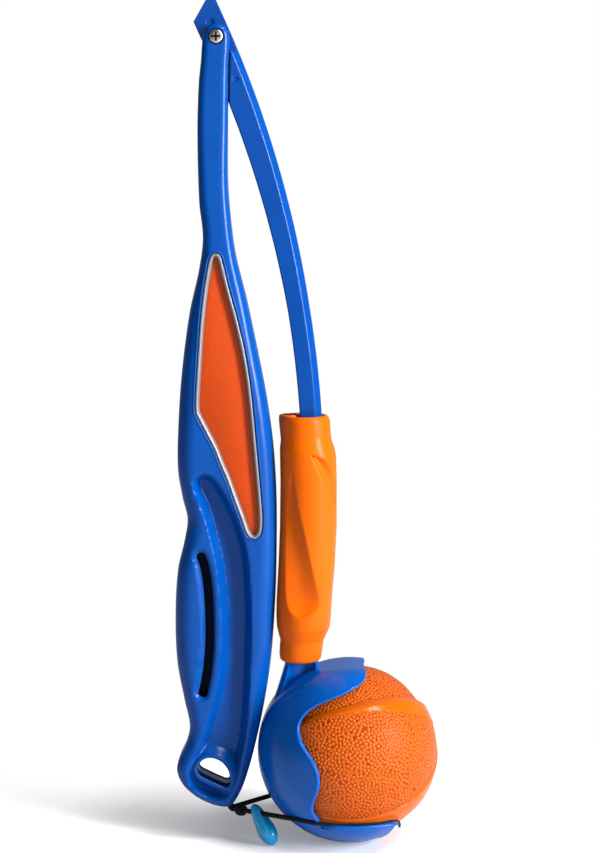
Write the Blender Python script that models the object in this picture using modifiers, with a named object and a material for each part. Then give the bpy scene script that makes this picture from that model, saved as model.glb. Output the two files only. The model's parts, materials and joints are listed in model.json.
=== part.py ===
"""A folding dog ball thrower, shown folded: handle, bent arm, grip sleeve, cup, ball and elastic loop.

Metres, +Z up. The thrower stands on the flat under its cup, and the ball's centre is over the origin.
Its flat shapes lie in the XZ plane, and its two moulded sides face -Y (front) and +Y (rear).
"""
from math import acos, atan2, cos, pi, radians, sin, sqrt, tan

import bmesh
import bpy
from mathutils import Matrix, Vector

MM = 0.001

# Clearances and shared cutting values
SEAT_GAP = 0.3 * MM
PARTING_GAP = 0.3 * MM
CUT_OVERRUN = 2.0 * MM
WELD = 0.01 * MM

# Ball and cup
BALL_DIAMETER = 64.0 * MM
BALL_GAP = 0.3 * MM
CUP_WALL = 1.9 * MM
LIP_WALL = 1.2 * MM
FOOT_FLAT_DEPTH = 0.5 * MM
CUP_BACK_SET = 0.5 * MM

# Mouth of the cup: places on the side view, from the ball's centre
JAW_TIP_OUT = 14.8 * MM
JAW_RIM_DROP = 22.0 * MM

# Grip sleeve round the joint of arm and cup: its foot stands over the cup's top, and it clears the handle
GRIP_FOOT_RISE = 0.4 * MM
GRIP_LENGTH = 90.0 * MM
GRIP_BULGE_RISE = 53.7 * MM
GRIP_CLEARANCE = 2.05 * MM
GRIP_BOW = 2.9 * MM
GRIP_RADIUS = 10.3 * MM
GRIP_LOWER_RADIUS = 9.9 * MM
COLLAR_RADIUS = 9.3 * MM
LOWER_COLLAR_RADIUS = 7.9 * MM
COLLAR_LENGTH = 9.5 * MM
LOWER_COLLAR_LENGTH = 8.0 * MM
SHOULDER_LENGTH = 4.5 * MM
COLLAR_ROUND = 0.8 * MM
GRIP_BORE_RADIUS = 7.0 * MM
GRIP_FLAT_COUNT = 4
GRIP_FLAT_LENGTH = 60.0 * MM
GRIP_FLAT_WIDTH = 13.0 * MM
GRIP_FLAT_DEPTH = 0.9 * MM
GRIP_FLAT_TILT = radians(14.0)
GRIP_FLAT_TURN_SHARE = 0.35
GRIP_FLAT_BULGE_SHARE = 1.6
LOBE_RADIUS = 3.6 * MM
LOBE_LENGTH = 8.5 * MM
LOBE_SEAT_SHARE = 0.55
LOBE_BORE_SHARE = 0.6
LOBE_BORE_DEPTH = 2.8 * MM

# Cup stem, its socket and the two pins, with rises over the grip's foot
STEM_RADIUS = 6.5 * MM
NECK_RADIUS = 6.1 * MM
STEM_LENGTH = 43.7 * MM
STEM_STEPS = 4
TANG_THICKNESS = 2.6 * MM
TANG_WIDTH = 6.4 * MM
TANG_FOOT_RISE = 22.7 * MM
PIN_RADIUS = 1.3 * MM
PIN_LENGTH = 11.0 * MM
PIN_SPACING = 10.0 * MM

# Pivot at the top
EAR_RADIUS = 5.3 * MM
CLEVIS_SPARE_DEPTH = 0.4 * MM
TONGUE_THICKNESS = 2.6 * MM
WASHER_THICKNESS = 0.5 * MM
WASHER_RADIUS = 4.0 * MM
BOLT_RADIUS = 1.5 * MM
BOLT_HEAD_RADIUS = 2.85 * MM
BOLT_HEAD_HEIGHT = 1.6 * MM
BOLT_DOME_SHARE = 0.45
BOLT_HEAD_PROUD = 0.5 * MM
BOLT_END_PROUD = 0.8 * MM
NUT_HEIGHT = 1.8 * MM
NUT_RADIUS = 3.1 * MM
CROSS_WIDTH = 0.6 * MM
CROSS_LENGTH = 3.0 * MM
CROSS_DEPTH = 0.8 * MM

# Arm: an arc from the pivot to its end in the grip, which is set by its rise over the grip's foot
ARM_END_RISE = 58.2 * MM
ARM_END_OFFSET = 1.52 * MM
ARM_END_LEAN = radians(1.1)
ARM_ROOT_WIDTH = 10.5 * MM
ARM_WIDTH = 8.0 * MM
ARM_TAPER_LENGTH = 100.0 * MM
ARM_THICKNESS = 7.4 * MM
ARM_CHAMFER = 1.9 * MM
ARM_STEPS = 14
HEEL_LEFT_REACH = 8.2 * MM
HEEL_RIGHT_REACH = 15.8 * MM
SHOULDER_DROP = 5.0 * MM
SHOULDER_GAP_TOP = 1.4 * MM
SHOULDER_GAP_FOOT = 0.4 * MM
SHOULDER_GAP_LENGTH = 44.0 * MM
TONGUE_LENGTH = 36.0 * MM
DETENT_RADIUS = 2.2 * MM
DETENT_REACH = 5.6 * MM
DETENT_DEPTH = 0.5 * MM
ARM_DIMPLE_RADIUS = 1.1 * MM
ARM_DIMPLE_REACH = 16.1 * MM

# Handle: its foot hangs over the ground, and its side clears the cup
HANDLE_FOOT_RISE = 10.6 * MM
CUP_CLEARANCE = 0.56 * MM
HANDLE_LENGTH = 283.0 * MM
HANDLE_WIDTH = 36.0 * MM
HANDLE_THICKNESS = 14.0 * MM
NECK_THICKNESS = 11.6 * MM
NECK_TAPER_TOP = 24.0 * MM
NECK_TAPER_FOOT = 74.0 * MM
NECK_EDGE_ROUND = 3.0 * MM
GRASP_EDGE_ROUND = 6.2 * MM
EDGE_STEPS = 3
OUTLINE_STEPS = 3
TIGHTEST_ROUND_SHARE = 0.8

# Recesses in each side of the handle
INLAY_DEPTH = 1.7 * MM
INLAY_THICKNESS = 0.7 * MM
TRIM_WIDTH = 1.5 * MM
TRIM_PROUD = 0.3 * MM
CHANNEL_DEPTH = 2.4 * MM
CHANNEL_ROUND = 2.2 * MM
SLOT_WIDTH = 2.5 * MM
SLOT_DEPTH = 4.6 * MM

# Screws that hold the two shells together
SHELL_SCREW_HEAD_RADIUS = 2.4 * MM
SHELL_SCREW_HEAD_HEIGHT = 1.4 * MM
SHELL_SCREW_RADIUS = 1.1 * MM
SHELL_SCREW_LENGTH = 9.5 * MM
SHELL_SCREW_SINK = 0.4 * MM

# Elastic loop, its knot and the pull bead
CORD_DIAMETER = 1.8 * MM
BELT_WALL = 0.9 * MM
CORD_HOLE_DEPTH = 5.0 * MM
CORD_HOLE_LEAN = radians(30.0)
CORD_SPREAD = 1.9 * MM
BEAD_LENGTH = 15.6 * MM
BEAD_RADIUS = 3.4 * MM
BEAD_HOLE_DROP = 3.6 * MM
BEAD_LEAN_RIGHT = radians(23.0)
BEAD_LEAN_FORWARD = radians(16.0)
BEAD_HOLE_RUN = 10.4 * MM
KNOT_LENGTH = 4.4 * MM
KNOT_RADIUS = 1.75 * MM
STRAND_DROP = 1.8 * MM
STRAND_RUN = 1.5 * MM
# Turns round the cup's axis, from the jaw's tip, at which the loop comes out of its groove onto the jaw's rim
GROOVE_END_TURN = radians(117.0)
RISE_TURN = radians(105.0)
RIM_TURNS = (radians(93.0), radians(80.0), radians(67.0), radians(55.0))

# Outline of the handle: (share of its length down from the pivot, share of its width to the right)
HANDLE_RIGHT_SHARES = (
    (0.060, 0.120), (0.178, 0.106), (0.225, 0.140), (0.270, 0.184), (0.330, 0.292), (0.392, 0.392),
    (0.453, 0.481), (0.515, 0.541), (0.578, 0.568), (0.650, 0.566), (0.720, 0.557), (0.800, 0.516),
    (0.864, 0.444), (0.930, 0.326), (0.968, 0.250), (0.988, 0.150),
)
HANDLE_LEFT_SHARES = (
    (1.000, 0.010), (0.989, -0.215), (0.968, -0.400), (0.947, -0.445), (0.925, -0.395), (0.890, -0.310),
    (0.850, -0.362), (0.800, -0.425), (0.740, -0.438), (0.680, -0.408), (0.642, -0.345), (0.613, -0.314),
    (0.585, -0.362), (0.547, -0.406), (0.490, -0.398), (0.420, -0.355), (0.345, -0.270), (0.290, -0.190),
    (0.250, -0.156), (0.205, -0.182), (0.120, -0.191), (0.060, -0.180),
)
# Kite-shaped inlay, same shares, clockwise from its top
INLAY_SHARES = (
    (0.283, -0.008), (0.330, 0.095), (0.405, 0.225), (0.475, 0.316), (0.545, 0.375), (0.600, 0.397),
    (0.622, 0.388), (0.630, 0.355), (0.614, 0.300), (0.560, 0.165), (0.520, 0.035), (0.494, -0.095),
    (0.474, -0.175), (0.458, -0.178), (0.400, -0.140), (0.330, -0.082),
)
INLAY_SHARP_SHARES = (0.283, 0.474, 0.458)
# Long channel that runs down round the hole at the handle's end
CHANNEL_SHARES = (
    (0.545, -0.130), (0.562, -0.010), (0.596, 0.110), (0.636, 0.203), (0.680, 0.280), (0.720, 0.322),
    (0.775, 0.333), (0.830, 0.325), (0.875, 0.292), (0.925, 0.222), (0.958, 0.160), (0.974, 0.080),
    (0.974, -0.060), (0.958, -0.200), (0.938, -0.262), (0.918, -0.222), (0.895, -0.150), (0.850, -0.070),
    (0.800, 0.000), (0.750, 0.022), (0.700, -0.010), (0.640, -0.095), (0.596, -0.182), (0.560, -0.250),
    (0.546, -0.215),
)
# Middle line of the narrow curved slot
SLOT_SHARES = (
    (0.652, -0.158), (0.682, -0.100), (0.715, -0.072), (0.750, -0.066), (0.785, -0.080), (0.836, -0.132),
)
# Hole for a lanyard at the handle's end
HOLE_SHARES = (
    (0.9225, -0.060), (0.926, -0.005), (0.938, 0.068), (0.953, 0.105), (0.963, 0.082), (0.960, -0.040),
    (0.952, -0.150), (0.942, -0.225), (0.932, -0.205), (0.9245, -0.130),
)
# Shell screws on the rear: same shares
SHELL_SCREW_SHARES = ((0.150, -0.042), (0.527, -0.233), (0.705, 0.440), (0.755, -0.270))
# Rounding of the handle's outer edge: share of its length down, share of the way from neck to grasp rounding
EDGE_ROUND_SHARES = (
    (0.0, 0.0), (0.14, 0.0), (0.26, 0.2), (0.38, 0.65), (0.5, 1.0), (0.8, 1.0), (0.92, 0.5), (1.0, 0.2),
)
# Mouths of the two cord holes in the handle's lower end: share down, share right
CORD_HOLE_SHARES = (0.9925, 0.094)
# Flare of the cup's stem: shares of the neck's radius below the grip, to the right, and of the radius itself
STEM_FLARE_SHARES = (
    (0.0, 0.10, 1.0), (0.55, 0.12, 1.03), (1.25, 0.16, 1.2), (2.1, 0.28, 1.42), (3.4, 0.9, 1.6),
)

# Side view of the cup's mouth: shares of the ball's radius, right and up from the ball's centre
MOUTH_SHARES = (
    (0.172, 0.975), (0.120, 0.912), (0.020, 0.860), (-0.100, 0.805), (-0.255, 0.748), (-0.415, 0.672),
    (-0.520, 0.590), (-0.580, 0.500), (-0.592, 0.410), (-0.560, 0.300), (-0.480, 0.190), (-0.405, 0.070),
    (-0.370, -0.065), (-0.382, -0.210), (-0.430, -0.360), (-0.436, -0.480), (-0.370, -0.612),
)

# Side line of the bead: shares of its length down from its top, and of its radius
BEAD_SHARES = (
    (0.03, 0.28), (0.12, 0.56), (0.26, 0.72), (0.45, 0.88), (0.64, 1.0), (0.80, 0.92), (0.92, 0.62),
    (0.98, 0.30),
)

# Loop round the jaw's tip: shares of the clear reach out from the axis, and to the side under the ball
TIP_SHARES = ((1.04, 0.575), (1.08, 0.45), (1.09, 0.24), (1.09, 0.0))
# Side line of one wrap of the knot: share of the wrap's length, and whether it stands out
WRAP_SHARES = ((0.12, 0.0), (0.5, 1.0), (0.88, 0.0))
KNOT_WRAPS = 3

# Colours
BLUE = (0.0, 0.115, 0.62, 1.0)
DEEP_BLUE = (0.0, 0.075, 0.42, 1.0)
ORANGE = (0.93, 0.16, 0.01, 1.0)
GRIP_ORANGE = (0.95, 0.21, 0.01, 1.0)
BALL_ORANGE = (0.86, 0.16, 0.02, 1.0)
SILVER = (0.72, 0.72, 0.74, 1.0)
NICKEL = (0.62, 0.57, 0.52, 1.0)
STEEL = (0.55, 0.56, 0.58, 1.0)
BLACK = (0.012, 0.012, 0.014, 1.0)
TEAL = (0.01, 0.22, 0.45, 1.0)
WHITE = (0.85, 0.85, 0.83, 1.0)

# Values that follow from the sizes above
BALL_RADIUS = BALL_DIAMETER / 2
BALL_HEIGHT = LIP_WALL + BALL_GAP + BALL_RADIUS
CAVITY_RADIUS = BALL_RADIUS + BALL_GAP
CUP_RADIUS = CAVITY_RADIUS + CUP_WALL
CUP_HEIGHT = CUP_RADIUS - FOOT_FLAT_DEPTH
CLEVIS_HALF_GAP = TONGUE_THICKNESS / 2 + SEAT_GAP + WASHER_THICKNESS + SEAT_GAP
GRIP_BOTTOM = CUP_HEIGHT + CUP_RADIUS + GRIP_FOOT_RISE
GRIP_TOP = GRIP_BOTTOM + GRIP_LENGTH
GRIP_BULGE_HEIGHT = GRIP_BOTTOM + GRIP_BULGE_RISE
STEM_TOP = GRIP_BOTTOM + STEM_LENGTH
TANG_BOTTOM = GRIP_BOTTOM + TANG_FOOT_RISE
ARM_END_HEIGHT = GRIP_BOTTOM + ARM_END_RISE
PIVOT_Z = HANDLE_FOOT_RISE + HANDLE_LENGTH
CORD_RADIUS = CORD_DIAMETER / 2
CORD_HOLE_RADIUS = CORD_RADIUS + SEAT_GAP
BELT_HEIGHT = BALL_HEIGHT - JAW_RIM_DROP + CORD_RADIUS + 2 * SEAT_GAP
BALL_CENTRE = Vector((0.0, 0.0, BALL_HEIGHT))
ALONG_Y = Matrix.Rotation(pi / 2, 4, "X")


def between_shares(shares, place):
    """The second of each pair of shares, read off in between at a place among the first."""
    place = min(max(place, shares[0][0]), shares[-1][0])
    for (start, low), (end, high) in zip(shares, shares[1:]):
        if place <= end:
            return low + (high - low) * (place - start) / (end - start)
    return shares[-1][1]


def handle_side(height):
    """How far the handle's right side lies from its pivot's line at a height."""
    return between_shares(HANDLE_RIGHT_SHARES, (PIVOT_Z - height) / HANDLE_LENGTH) * HANDLE_WIDTH


def pivot_beside_cup():
    """Where the pivot lies, so that the handle's right side clears the round of the cup."""
    places = []
    for eighth in range(-6, 7):
        rise = CUP_RADIUS * eighth / 8
        cup_side = -CUP_BACK_SET - sqrt(CUP_RADIUS**2 - rise**2)
        places.append(cup_side - CUP_CLEARANCE - handle_side(CUP_HEIGHT + rise))
    return min(places)


def grip_axis(height):
    """The middle line of the grip, which bows a little to the right."""
    share = (height - GRIP_BULGE_HEIGHT) / GRIP_BULGE_RISE
    return GRIP_BULGE_X - GRIP_BOW * share * share


# The pivot, the grip beside the handle's widest place, and the arm's arc between them
PIVOT_X = pivot_beside_cup()
PIVOT = Vector((PIVOT_X, 0.0, PIVOT_Z))
HANDLE_WIDEST = max(right for _, right in HANDLE_RIGHT_SHARES) * HANDLE_WIDTH
GRIP_BULGE_X = PIVOT_X + HANDLE_WIDEST + GRIP_CLEARANCE + GRIP_RADIUS
ARM_SWEEP = grip_axis(ARM_END_HEIGHT) + ARM_END_OFFSET - PIVOT_X
ARM_DROP = PIVOT_Z - ARM_END_HEIGHT
ARM_TILT = 2 * atan2(ARM_SWEEP, ARM_DROP) + ARM_END_LEAN
ARM_BEND_RADIUS = ARM_DROP / (sin(ARM_TILT) + sin(ARM_END_LEAN))
ARM_LENGTH = ARM_BEND_RADIUS * (ARM_TILT + ARM_END_LEAN)


def clear_scene():
    """Remove whatever objects the file opens with."""
    for old in list(bpy.data.objects):
        bpy.data.objects.remove(old, do_unlink=True)


def new_collection(name):
    collection = bpy.data.collections.new(name)
    bpy.context.scene.collection.children.link(collection)
    return collection


def new_material(name, colour, roughness, metallic=0.0):
    material = bpy.data.materials.new(name)
    material.use_nodes = True
    shader = material.node_tree.nodes["Principled BSDF"]
    shader.inputs["Base Color"].default_value = colour
    shader.inputs["Roughness"].default_value = roughness
    shader.inputs["Metallic"].default_value = metallic
    material.diffuse_color = colour
    return material


def add_object(name, data, collection):
    thing = bpy.data.objects.new(name, data)
    collection.objects.link(thing)
    return thing


def settled_mesh(source, name, collection):
    """Replace a curve or a modified object by its plain mesh, welded, with its place in the mesh."""
    bpy.context.view_layer.update()
    depsgraph = bpy.context.evaluated_depsgraph_get()
    mesh = bpy.data.meshes.new_from_object(source.evaluated_get(depsgraph))
    mesh.transform(source.matrix_world)
    bpy.data.objects.remove(source, do_unlink=True)
    work = bmesh.new()
    work.from_mesh(mesh)
    bmesh.ops.remove_doubles(work, verts=work.verts, dist=WELD)
    work.to_mesh(mesh)
    work.free()
    mesh.name = name
    return add_object(name, mesh, collection)


def as_cutter(thing):
    thing.hide_render = True
    thing.display_type = "WIRE"
    return thing


def combine(target, tool, operation):
    """Cut, join or intersect with an EXACT Boolean."""
    step = target.modifiers.new(operation.lower(), "BOOLEAN")
    step.operation = operation
    step.object = as_cutter(tool)
    step.solver = "EXACT"
    return target


def cut(target, *tools):
    for tool in tools:
        combine(target, tool, "DIFFERENCE")
    return target


def smooth_shading(thing, angle=radians(30.0)):
    thing.data.shade_smooth()
    thing.data.set_sharp_from_angle(angle=angle)
    return thing


def flat_shape(name, outline, y_low, y_high, collection, edge_round=0.0, round_steps=2, curve_steps=3,
               sharp=()):
    """A closed outline in the XZ plane, given as (x, z) points, filled and carried from y_low to y_high.

    Points whose number is in sharp are corners, and the line is smooth through the others.
    """
    curve = bpy.data.curves.new(name, "CURVE")
    curve.dimensions = "2D"
    curve.fill_mode = "BOTH"
    curve.resolution_u = curve_steps
    curve.extrude = (y_high - y_low) / 2 - edge_round
    curve.bevel_depth = edge_round
    curve.bevel_resolution = round_steps
    curve.offset = -edge_round
    spline = curve.splines.new("BEZIER")
    spline.bezier_points.add(len(outline) - 1)
    for number, (point, (x, z)) in enumerate(zip(spline.bezier_points, outline)):
        point.co = (x, z, 0.0)
        kind = "VECTOR" if number in sharp else "AUTO"
        point.handle_left_type = kind
        point.handle_right_type = kind
    spline.use_cyclic_u = True
    shape = add_object(name, curve, collection)
    shape.matrix_world = Matrix.Translation((0.0, (y_low + y_high) / 2, 0.0)) @ ALONG_Y
    return settled_mesh(shape, name, collection)


def polygon(name, outline, y_low, y_high, collection, chamfer=0.0):
    """The same with straight sides between the points, and a flat chamfer along its edges."""
    return flat_shape(name, outline, y_low, y_high, collection, chamfer, 0, 1, range(len(outline)))


def lofted(name, rings, collection):
    """A closed body over rings with equal numbers of points, with a flat cap at each end."""
    size = len(rings[0])
    faces = []
    for start in range(0, size * (len(rings) - 1), size):
        for i in range(size):
            k = (i + 1) % size
            faces.append((start + i, start + k, start + size + k, start + size + i))
    last = size * (len(rings) - 1)
    faces.append(tuple(range(size)))
    faces.append(tuple(range(last, last + size)))
    mesh = bpy.data.meshes.new(name)
    mesh.from_pydata([point for ring in rings for point in ring], [], faces)
    work = bmesh.new()
    work.from_mesh(mesh)
    bmesh.ops.triangulate(work, faces=work.faces)
    bmesh.ops.recalc_face_normals(work, faces=work.faces)
    work.to_mesh(mesh)
    work.free()
    return add_object(name, mesh, collection)


def turned(name, profile, steps, place, collection):
    """Turn a profile of (radius, height) points, listed from the top down, round the Z axis of a place."""
    mesh = bpy.data.meshes.new(name)
    points = [(radius, 0.0, height) for radius, height in profile]
    mesh.from_pydata(points, [(i, i + 1) for i in range(len(points) - 1)], [])
    thing = add_object(name, mesh, collection)
    thing.matrix_world = place
    screw = thing.modifiers.new("turn", "SCREW")
    screw.steps = steps
    screw.render_steps = steps
    screw.use_merge_vertices = True
    screw.merge_threshold = WELD
    return settled_mesh(thing, name, collection)


def rod(name, radius, length, place, collection, steps=16):
    """A plain cylinder from a place's origin up its Z axis."""
    profile = ((0.0, length), (radius, length), (radius, 0.0), (0.0, 0.0))
    return turned(name, profile, steps, place, collection)


def box(name, low, high, collection):
    mesh = bpy.data.meshes.new(name)
    work = bmesh.new()
    bmesh.ops.create_cube(work, size=1.0)
    low, high = Vector(low), Vector(high)
    for vertex in work.verts:
        share = vertex.co + Vector((0.5, 0.5, 0.5))
        vertex.co = low + Vector(a * b for a, b in zip(share, high - low))
    work.to_mesh(mesh)
    work.free()
    return add_object(name, mesh, collection)


def ball_shape(name, radius, centre, segments, collection):
    mesh = bpy.data.meshes.new(name)
    work = bmesh.new()
    bmesh.ops.create_uvsphere(work, u_segments=segments, v_segments=segments // 2, radius=radius)
    work.to_mesh(mesh)
    work.free()
    mesh.transform(Matrix.Translation(centre))
    return add_object(name, mesh, collection)


def tube(name, points, radii, collection, resolution=2):
    """A round bar along a line of points, with one radius at each point."""
    curve = bpy.data.curves.new(name, "CURVE")
    curve.dimensions = "3D"
    curve.bevel_depth = 1.0
    curve.bevel_resolution = resolution
    curve.use_fill_caps = True
    spline = curve.splines.new("POLY")
    spline.points.add(len(points) - 1)
    for point, place, radius in zip(spline.points, points, radii):
        point.co = (*place, 1.0)
        point.radius = radius
    return settled_mesh(add_object(name, curve, collection), name, collection)


def between_marks(a, b, c, d, t):
    """The place at share t of the smooth line from b to c, with a before them and d after them."""
    return 0.5 * (2 * b + (c - a) * t + (2 * a - 5 * b + 4 * c - d) * t**2 + (3 * b - a - 3 * c + d) * t**3)


def smooth_ring(marks, steps):
    """A closed smooth line through uneven marks, with the same number of steps from each to the next."""
    ring = []
    following = [*marks[1:], *marks[:2]]
    for a, b, c, d in zip([marks[-1], *marks], marks, following, following[1:]):
        length = (c - b).length
        leave = (c - a) * length / ((b - a).length + length)
        arrive = (d - b) * length / ((d - c).length + length)
        for t in (step / steps for step in range(steps)):
            middle = b.lerp(c, t * t * (3 - 2 * t))
            ring.append(middle + leave * t * (1 - t) ** 2 - arrive * t * t * (1 - t))
    return ring


def smooth_route(route, spacing):
    """Points at an even spacing along a smooth curve through the route's own points."""
    marks = [route[0] * 2 - route[1], *route, route[-1] * 2 - route[-2]]
    fine = []
    for a, b, c, d in zip(marks, marks[1:], marks[2:], marks[3:]):
        count = max(2, round((c - b).length / spacing * 8))
        fine += [between_marks(a, b, c, d, i / count) for i in range(count)]
    fine.append(route[-1])
    length = sum((b - a).length for a, b in zip(fine, fine[1:]))
    step = length / round(length / spacing)
    points, run, target = [fine[0]], 0.0, step
    for a, b in zip(fine, fine[1:]):
        stretch = (b - a).length
        while run + stretch >= target - WELD and len(points) * step < length - step / 2:
            points.append(a.lerp(b, (target - run) / stretch))
            target += step
        run += stretch
    points.append(fine[-1])
    return points


def aim(point, direction):
    """A place whose Z axis points along a direction."""
    turn = Vector((0.0, 0.0, 1.0)).rotation_difference(direction)
    return Matrix.Translation(point) @ turn.to_matrix().to_4x4()


def on_handle(share_down, share_right):
    """A point of the side view of the handle as (x, z)."""
    return PIVOT_X + share_right * HANDLE_WIDTH, PIVOT_Z - share_down * HANDLE_LENGTH


def handle_outline():
    """The handle's side view, clockwise: round its ear, down its right side and up its left side."""
    turns = [pi / 4 * i for i in range(5)]
    arc = [(PIVOT_X - EAR_RADIUS * cos(turn), PIVOT_Z + EAR_RADIUS * sin(turn)) for turn in turns]
    sides = [on_handle(*share) for share in HANDLE_RIGHT_SHARES + HANDLE_LEFT_SHARES]
    return smooth_ring([Vector(mark) for mark in arc + sides], OUTLINE_STEPS)


def edge_rounds(line):
    """Rounding of the outer edge at each point of the outline, kept below the outline's own bends."""
    wanted, held = [], []
    count, reach = len(line), OUTLINE_STEPS
    for i, point in enumerate(line):
        share = between_shares(EDGE_ROUND_SHARES, (PIVOT_Z - point.y) / HANDLE_LENGTH)
        wanted.append(NECK_EDGE_ROUND + (GRASP_EDGE_ROUND - NECK_EDGE_ROUND) * share)
        before, after = point - line[i - reach], line[(i + reach) % count] - point
        turn = before.angle_signed(after)
        bend = (before.length + after.length) / 2 / turn if turn > 0 else HANDLE_LENGTH
        held.append(min(wanted[-1], bend * TIGHTEST_ROUND_SHARE))
    for _ in range(4 * OUTLINE_STEPS):
        even = [(held[i - 1] + held[i] + held[(i + 1) % count]) / 3 for i in range(count)]
        held = [min(pair) for pair in zip(even, wanted)]
    return held


def handle_thin_share(height):
    """Share of the full thickness at a height: the flat sides draw in toward the pivot."""
    share = (PIVOT_Z - height - NECK_TAPER_TOP) / (NECK_TAPER_FOOT - NECK_TAPER_TOP)
    share = min(max(share, 0.0), 1.0)
    share = share * share * (3.0 - 2.0 * share)
    return (NECK_THICKNESS + (HANDLE_THICKNESS - NECK_THICKNESS) * share) / HANDLE_THICKNESS


def half_handle(name, side, parts):
    """Half of the handle: its outline carried out from the parting plane and rounded over onto its face."""
    line = handle_outline()
    radii = edge_rounds(line)
    rings = [[Vector((point.x, side * PARTING_GAP / 2, point.y)) for point in line]]
    for step in range(EDGE_STEPS + 1):
        turn = pi / 2 * step / EDGE_STEPS
        ring = []
        for i, (point, radius) in enumerate(zip(line, radii)):
            run = line[(i + 1) % len(line)] - line[i - 1]
            inward = Vector((run.y, -run.x)).normalized() * radius * (1 - cos(turn))
            place = point + inward
            depth = (HANDLE_THICKNESS / 2 - radius * (1 - sin(turn))) * handle_thin_share(place.y)
            ring.append(Vector((place.x, side * depth, place.y)))
        rings.append(ring)
    return lofted(name, rings, parts)


def inlay_outline():
    sharp = [i for i, share in enumerate(INLAY_SHARES) if share[0] in INLAY_SHARP_SHARES]
    return [on_handle(*share) for share in INLAY_SHARES], sharp


def widened(outline, amount):
    """The same clockwise outline, moved out by an amount along its own normals."""
    count = len(outline)
    moved = []
    for i, (x, z) in enumerate(outline):
        before = Vector(outline[i]) - Vector(outline[i - 1])
        after = Vector(outline[(i + 1) % count]) - Vector(outline[i])
        normals = [Vector((-v.y, v.x)).normalized() for v in (before, after)]
        middle = (normals[0] + normals[1]).normalized()
        reach = amount / max(middle.dot(normals[0]), 0.5)
        moved.append((x + middle.x * reach, z + middle.y * reach))
    return moved


def slot_outline():
    """Both sides of the curved slot's middle line, with a round end at each."""
    middle = [Vector((x, 0.0, z)) for x, z in (on_handle(*share) for share in SLOT_SHARES)]
    line = smooth_route(middle, 2 * SLOT_WIDTH)
    half = SLOT_WIDTH / 2
    right, left = [], []
    for before, point, after in zip([line[0], *line], line, [*line[1:], line[-1]]):
        run = (after - before).normalized()
        side = Vector((-run.z, 0.0, run.x)) * half
        right.append((point.x + side.x, point.z + side.z))
        left.append((point.x - side.x, point.z - side.z))
    top = round_end(line[0], line[0] - line[1], half)
    foot = round_end(line[-1], line[-1] - line[-2], half)
    return top + right + foot + left[::-1]


def round_end(centre, outward, radius):
    """The three middle points of a half circle that closes a slot."""
    heading = atan2(outward.z, outward.x)
    turns = (heading + pi / 4, heading, heading - pi / 4)
    return [(centre.x + radius * cos(turn), centre.z + radius * sin(turn)) for turn in turns]


def side_cutters(side, cutters):
    """The recesses of one side of the handle; side is -1 at the front and 1 at the rear."""
    tag = "front" if side < 0 else "rear"
    face = HANDLE_THICKNESS / 2

    def span(depth):
        inner, outer = side * (face - depth), side * (face + CUT_OVERRUN)
        return min(inner, outer), max(inner, outer)

    outline, sharp = inlay_outline()
    pocket = widened(outline, TRIM_WIDTH + SEAT_GAP)
    low, high = span(INLAY_DEPTH)
    yield flat_shape(f"{tag}_inlay_pocket", pocket, low, high, cutters, 0.0, 0, 2, sharp)
    channel = [on_handle(*share) for share in CHANNEL_SHARES]
    low, high = sorted((side * (face - CHANNEL_DEPTH), side * (face + CHANNEL_DEPTH + CHANNEL_ROUND)))
    yield flat_shape(f"{tag}_channel", channel, low, high, cutters, CHANNEL_ROUND, 1, 2)
    low, high = span(SLOT_DEPTH)
    yield polygon(f"{tag}_slot", slot_outline(), low, high, cutters)


def shell_screw_places():
    """Middle of each shell screw's head face, on the rear side."""
    face = HANDLE_THICKNESS / 2
    for share in SHELL_SCREW_SHARES:
        x, z = on_handle(*share)
        yield Vector((x, face * handle_thin_share(z) - SHELL_SCREW_SINK, z))


def cord_hole_mouth(side):
    """Middle of a cord hole's mouth in the handle's lower end, and the way out of it."""
    x, z = on_handle(*CORD_HOLE_SHARES)
    return Vector((x, side * CORD_SPREAD, z)), Vector((sin(CORD_HOLE_LEAN), 0.0, -cos(CORD_HOLE_LEAN)))


def handle_shell(side, parts, cutters):
    """One moulded half of the handle, with its clevis ear."""
    tag = "front" if side < 0 else "rear"
    shell = half_handle(f"{tag}_handle_shell", side, parts)
    low = (PIVOT_X - HANDLE_WIDTH, -CLEVIS_HALF_GAP, PIVOT_Z - clevis_depth())
    high = (PIVOT_X + HANDLE_WIDTH, CLEVIS_HALF_GAP, PIVOT_Z + HANDLE_WIDTH)
    cut(shell, box(f"{tag}_clevis_gap", low, high, cutters))
    cut(shell, *side_cutters(side, cutters))
    hole = [on_handle(*share) for share in HOLE_SHARES]
    low, high = -HANDLE_THICKNESS, HANDLE_THICKNESS
    cut(shell, flat_shape(f"{tag}_lanyard_hole", hole, low, high, cutters, 0.0, 0, 2))
    bolt_hole = aim(PIVOT - Vector((0.0, HANDLE_THICKNESS, 0.0)), Vector((0.0, 1.0, 0.0)))
    cut(shell, rod(f"{tag}_bolt_hole", BOLT_RADIUS + SEAT_GAP, 2 * HANDLE_THICKNESS, bolt_hole, cutters))
    cut(shell, loop_room(f"{tag}_cord_hole", cutters))
    return shell


def clevis_depth():
    """Depth of the gap between the ears: down to where the folded arm has come out beside the neck."""
    run = 0.0
    while True:
        x, z = arm_point(run, -arm_half_width(run))
        if x > PIVOT_X + handle_side(z) + SEAT_GAP:
            return PIVOT_Z - z + CLEVIS_SPARE_DEPTH
        run += SEAT_GAP


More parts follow.
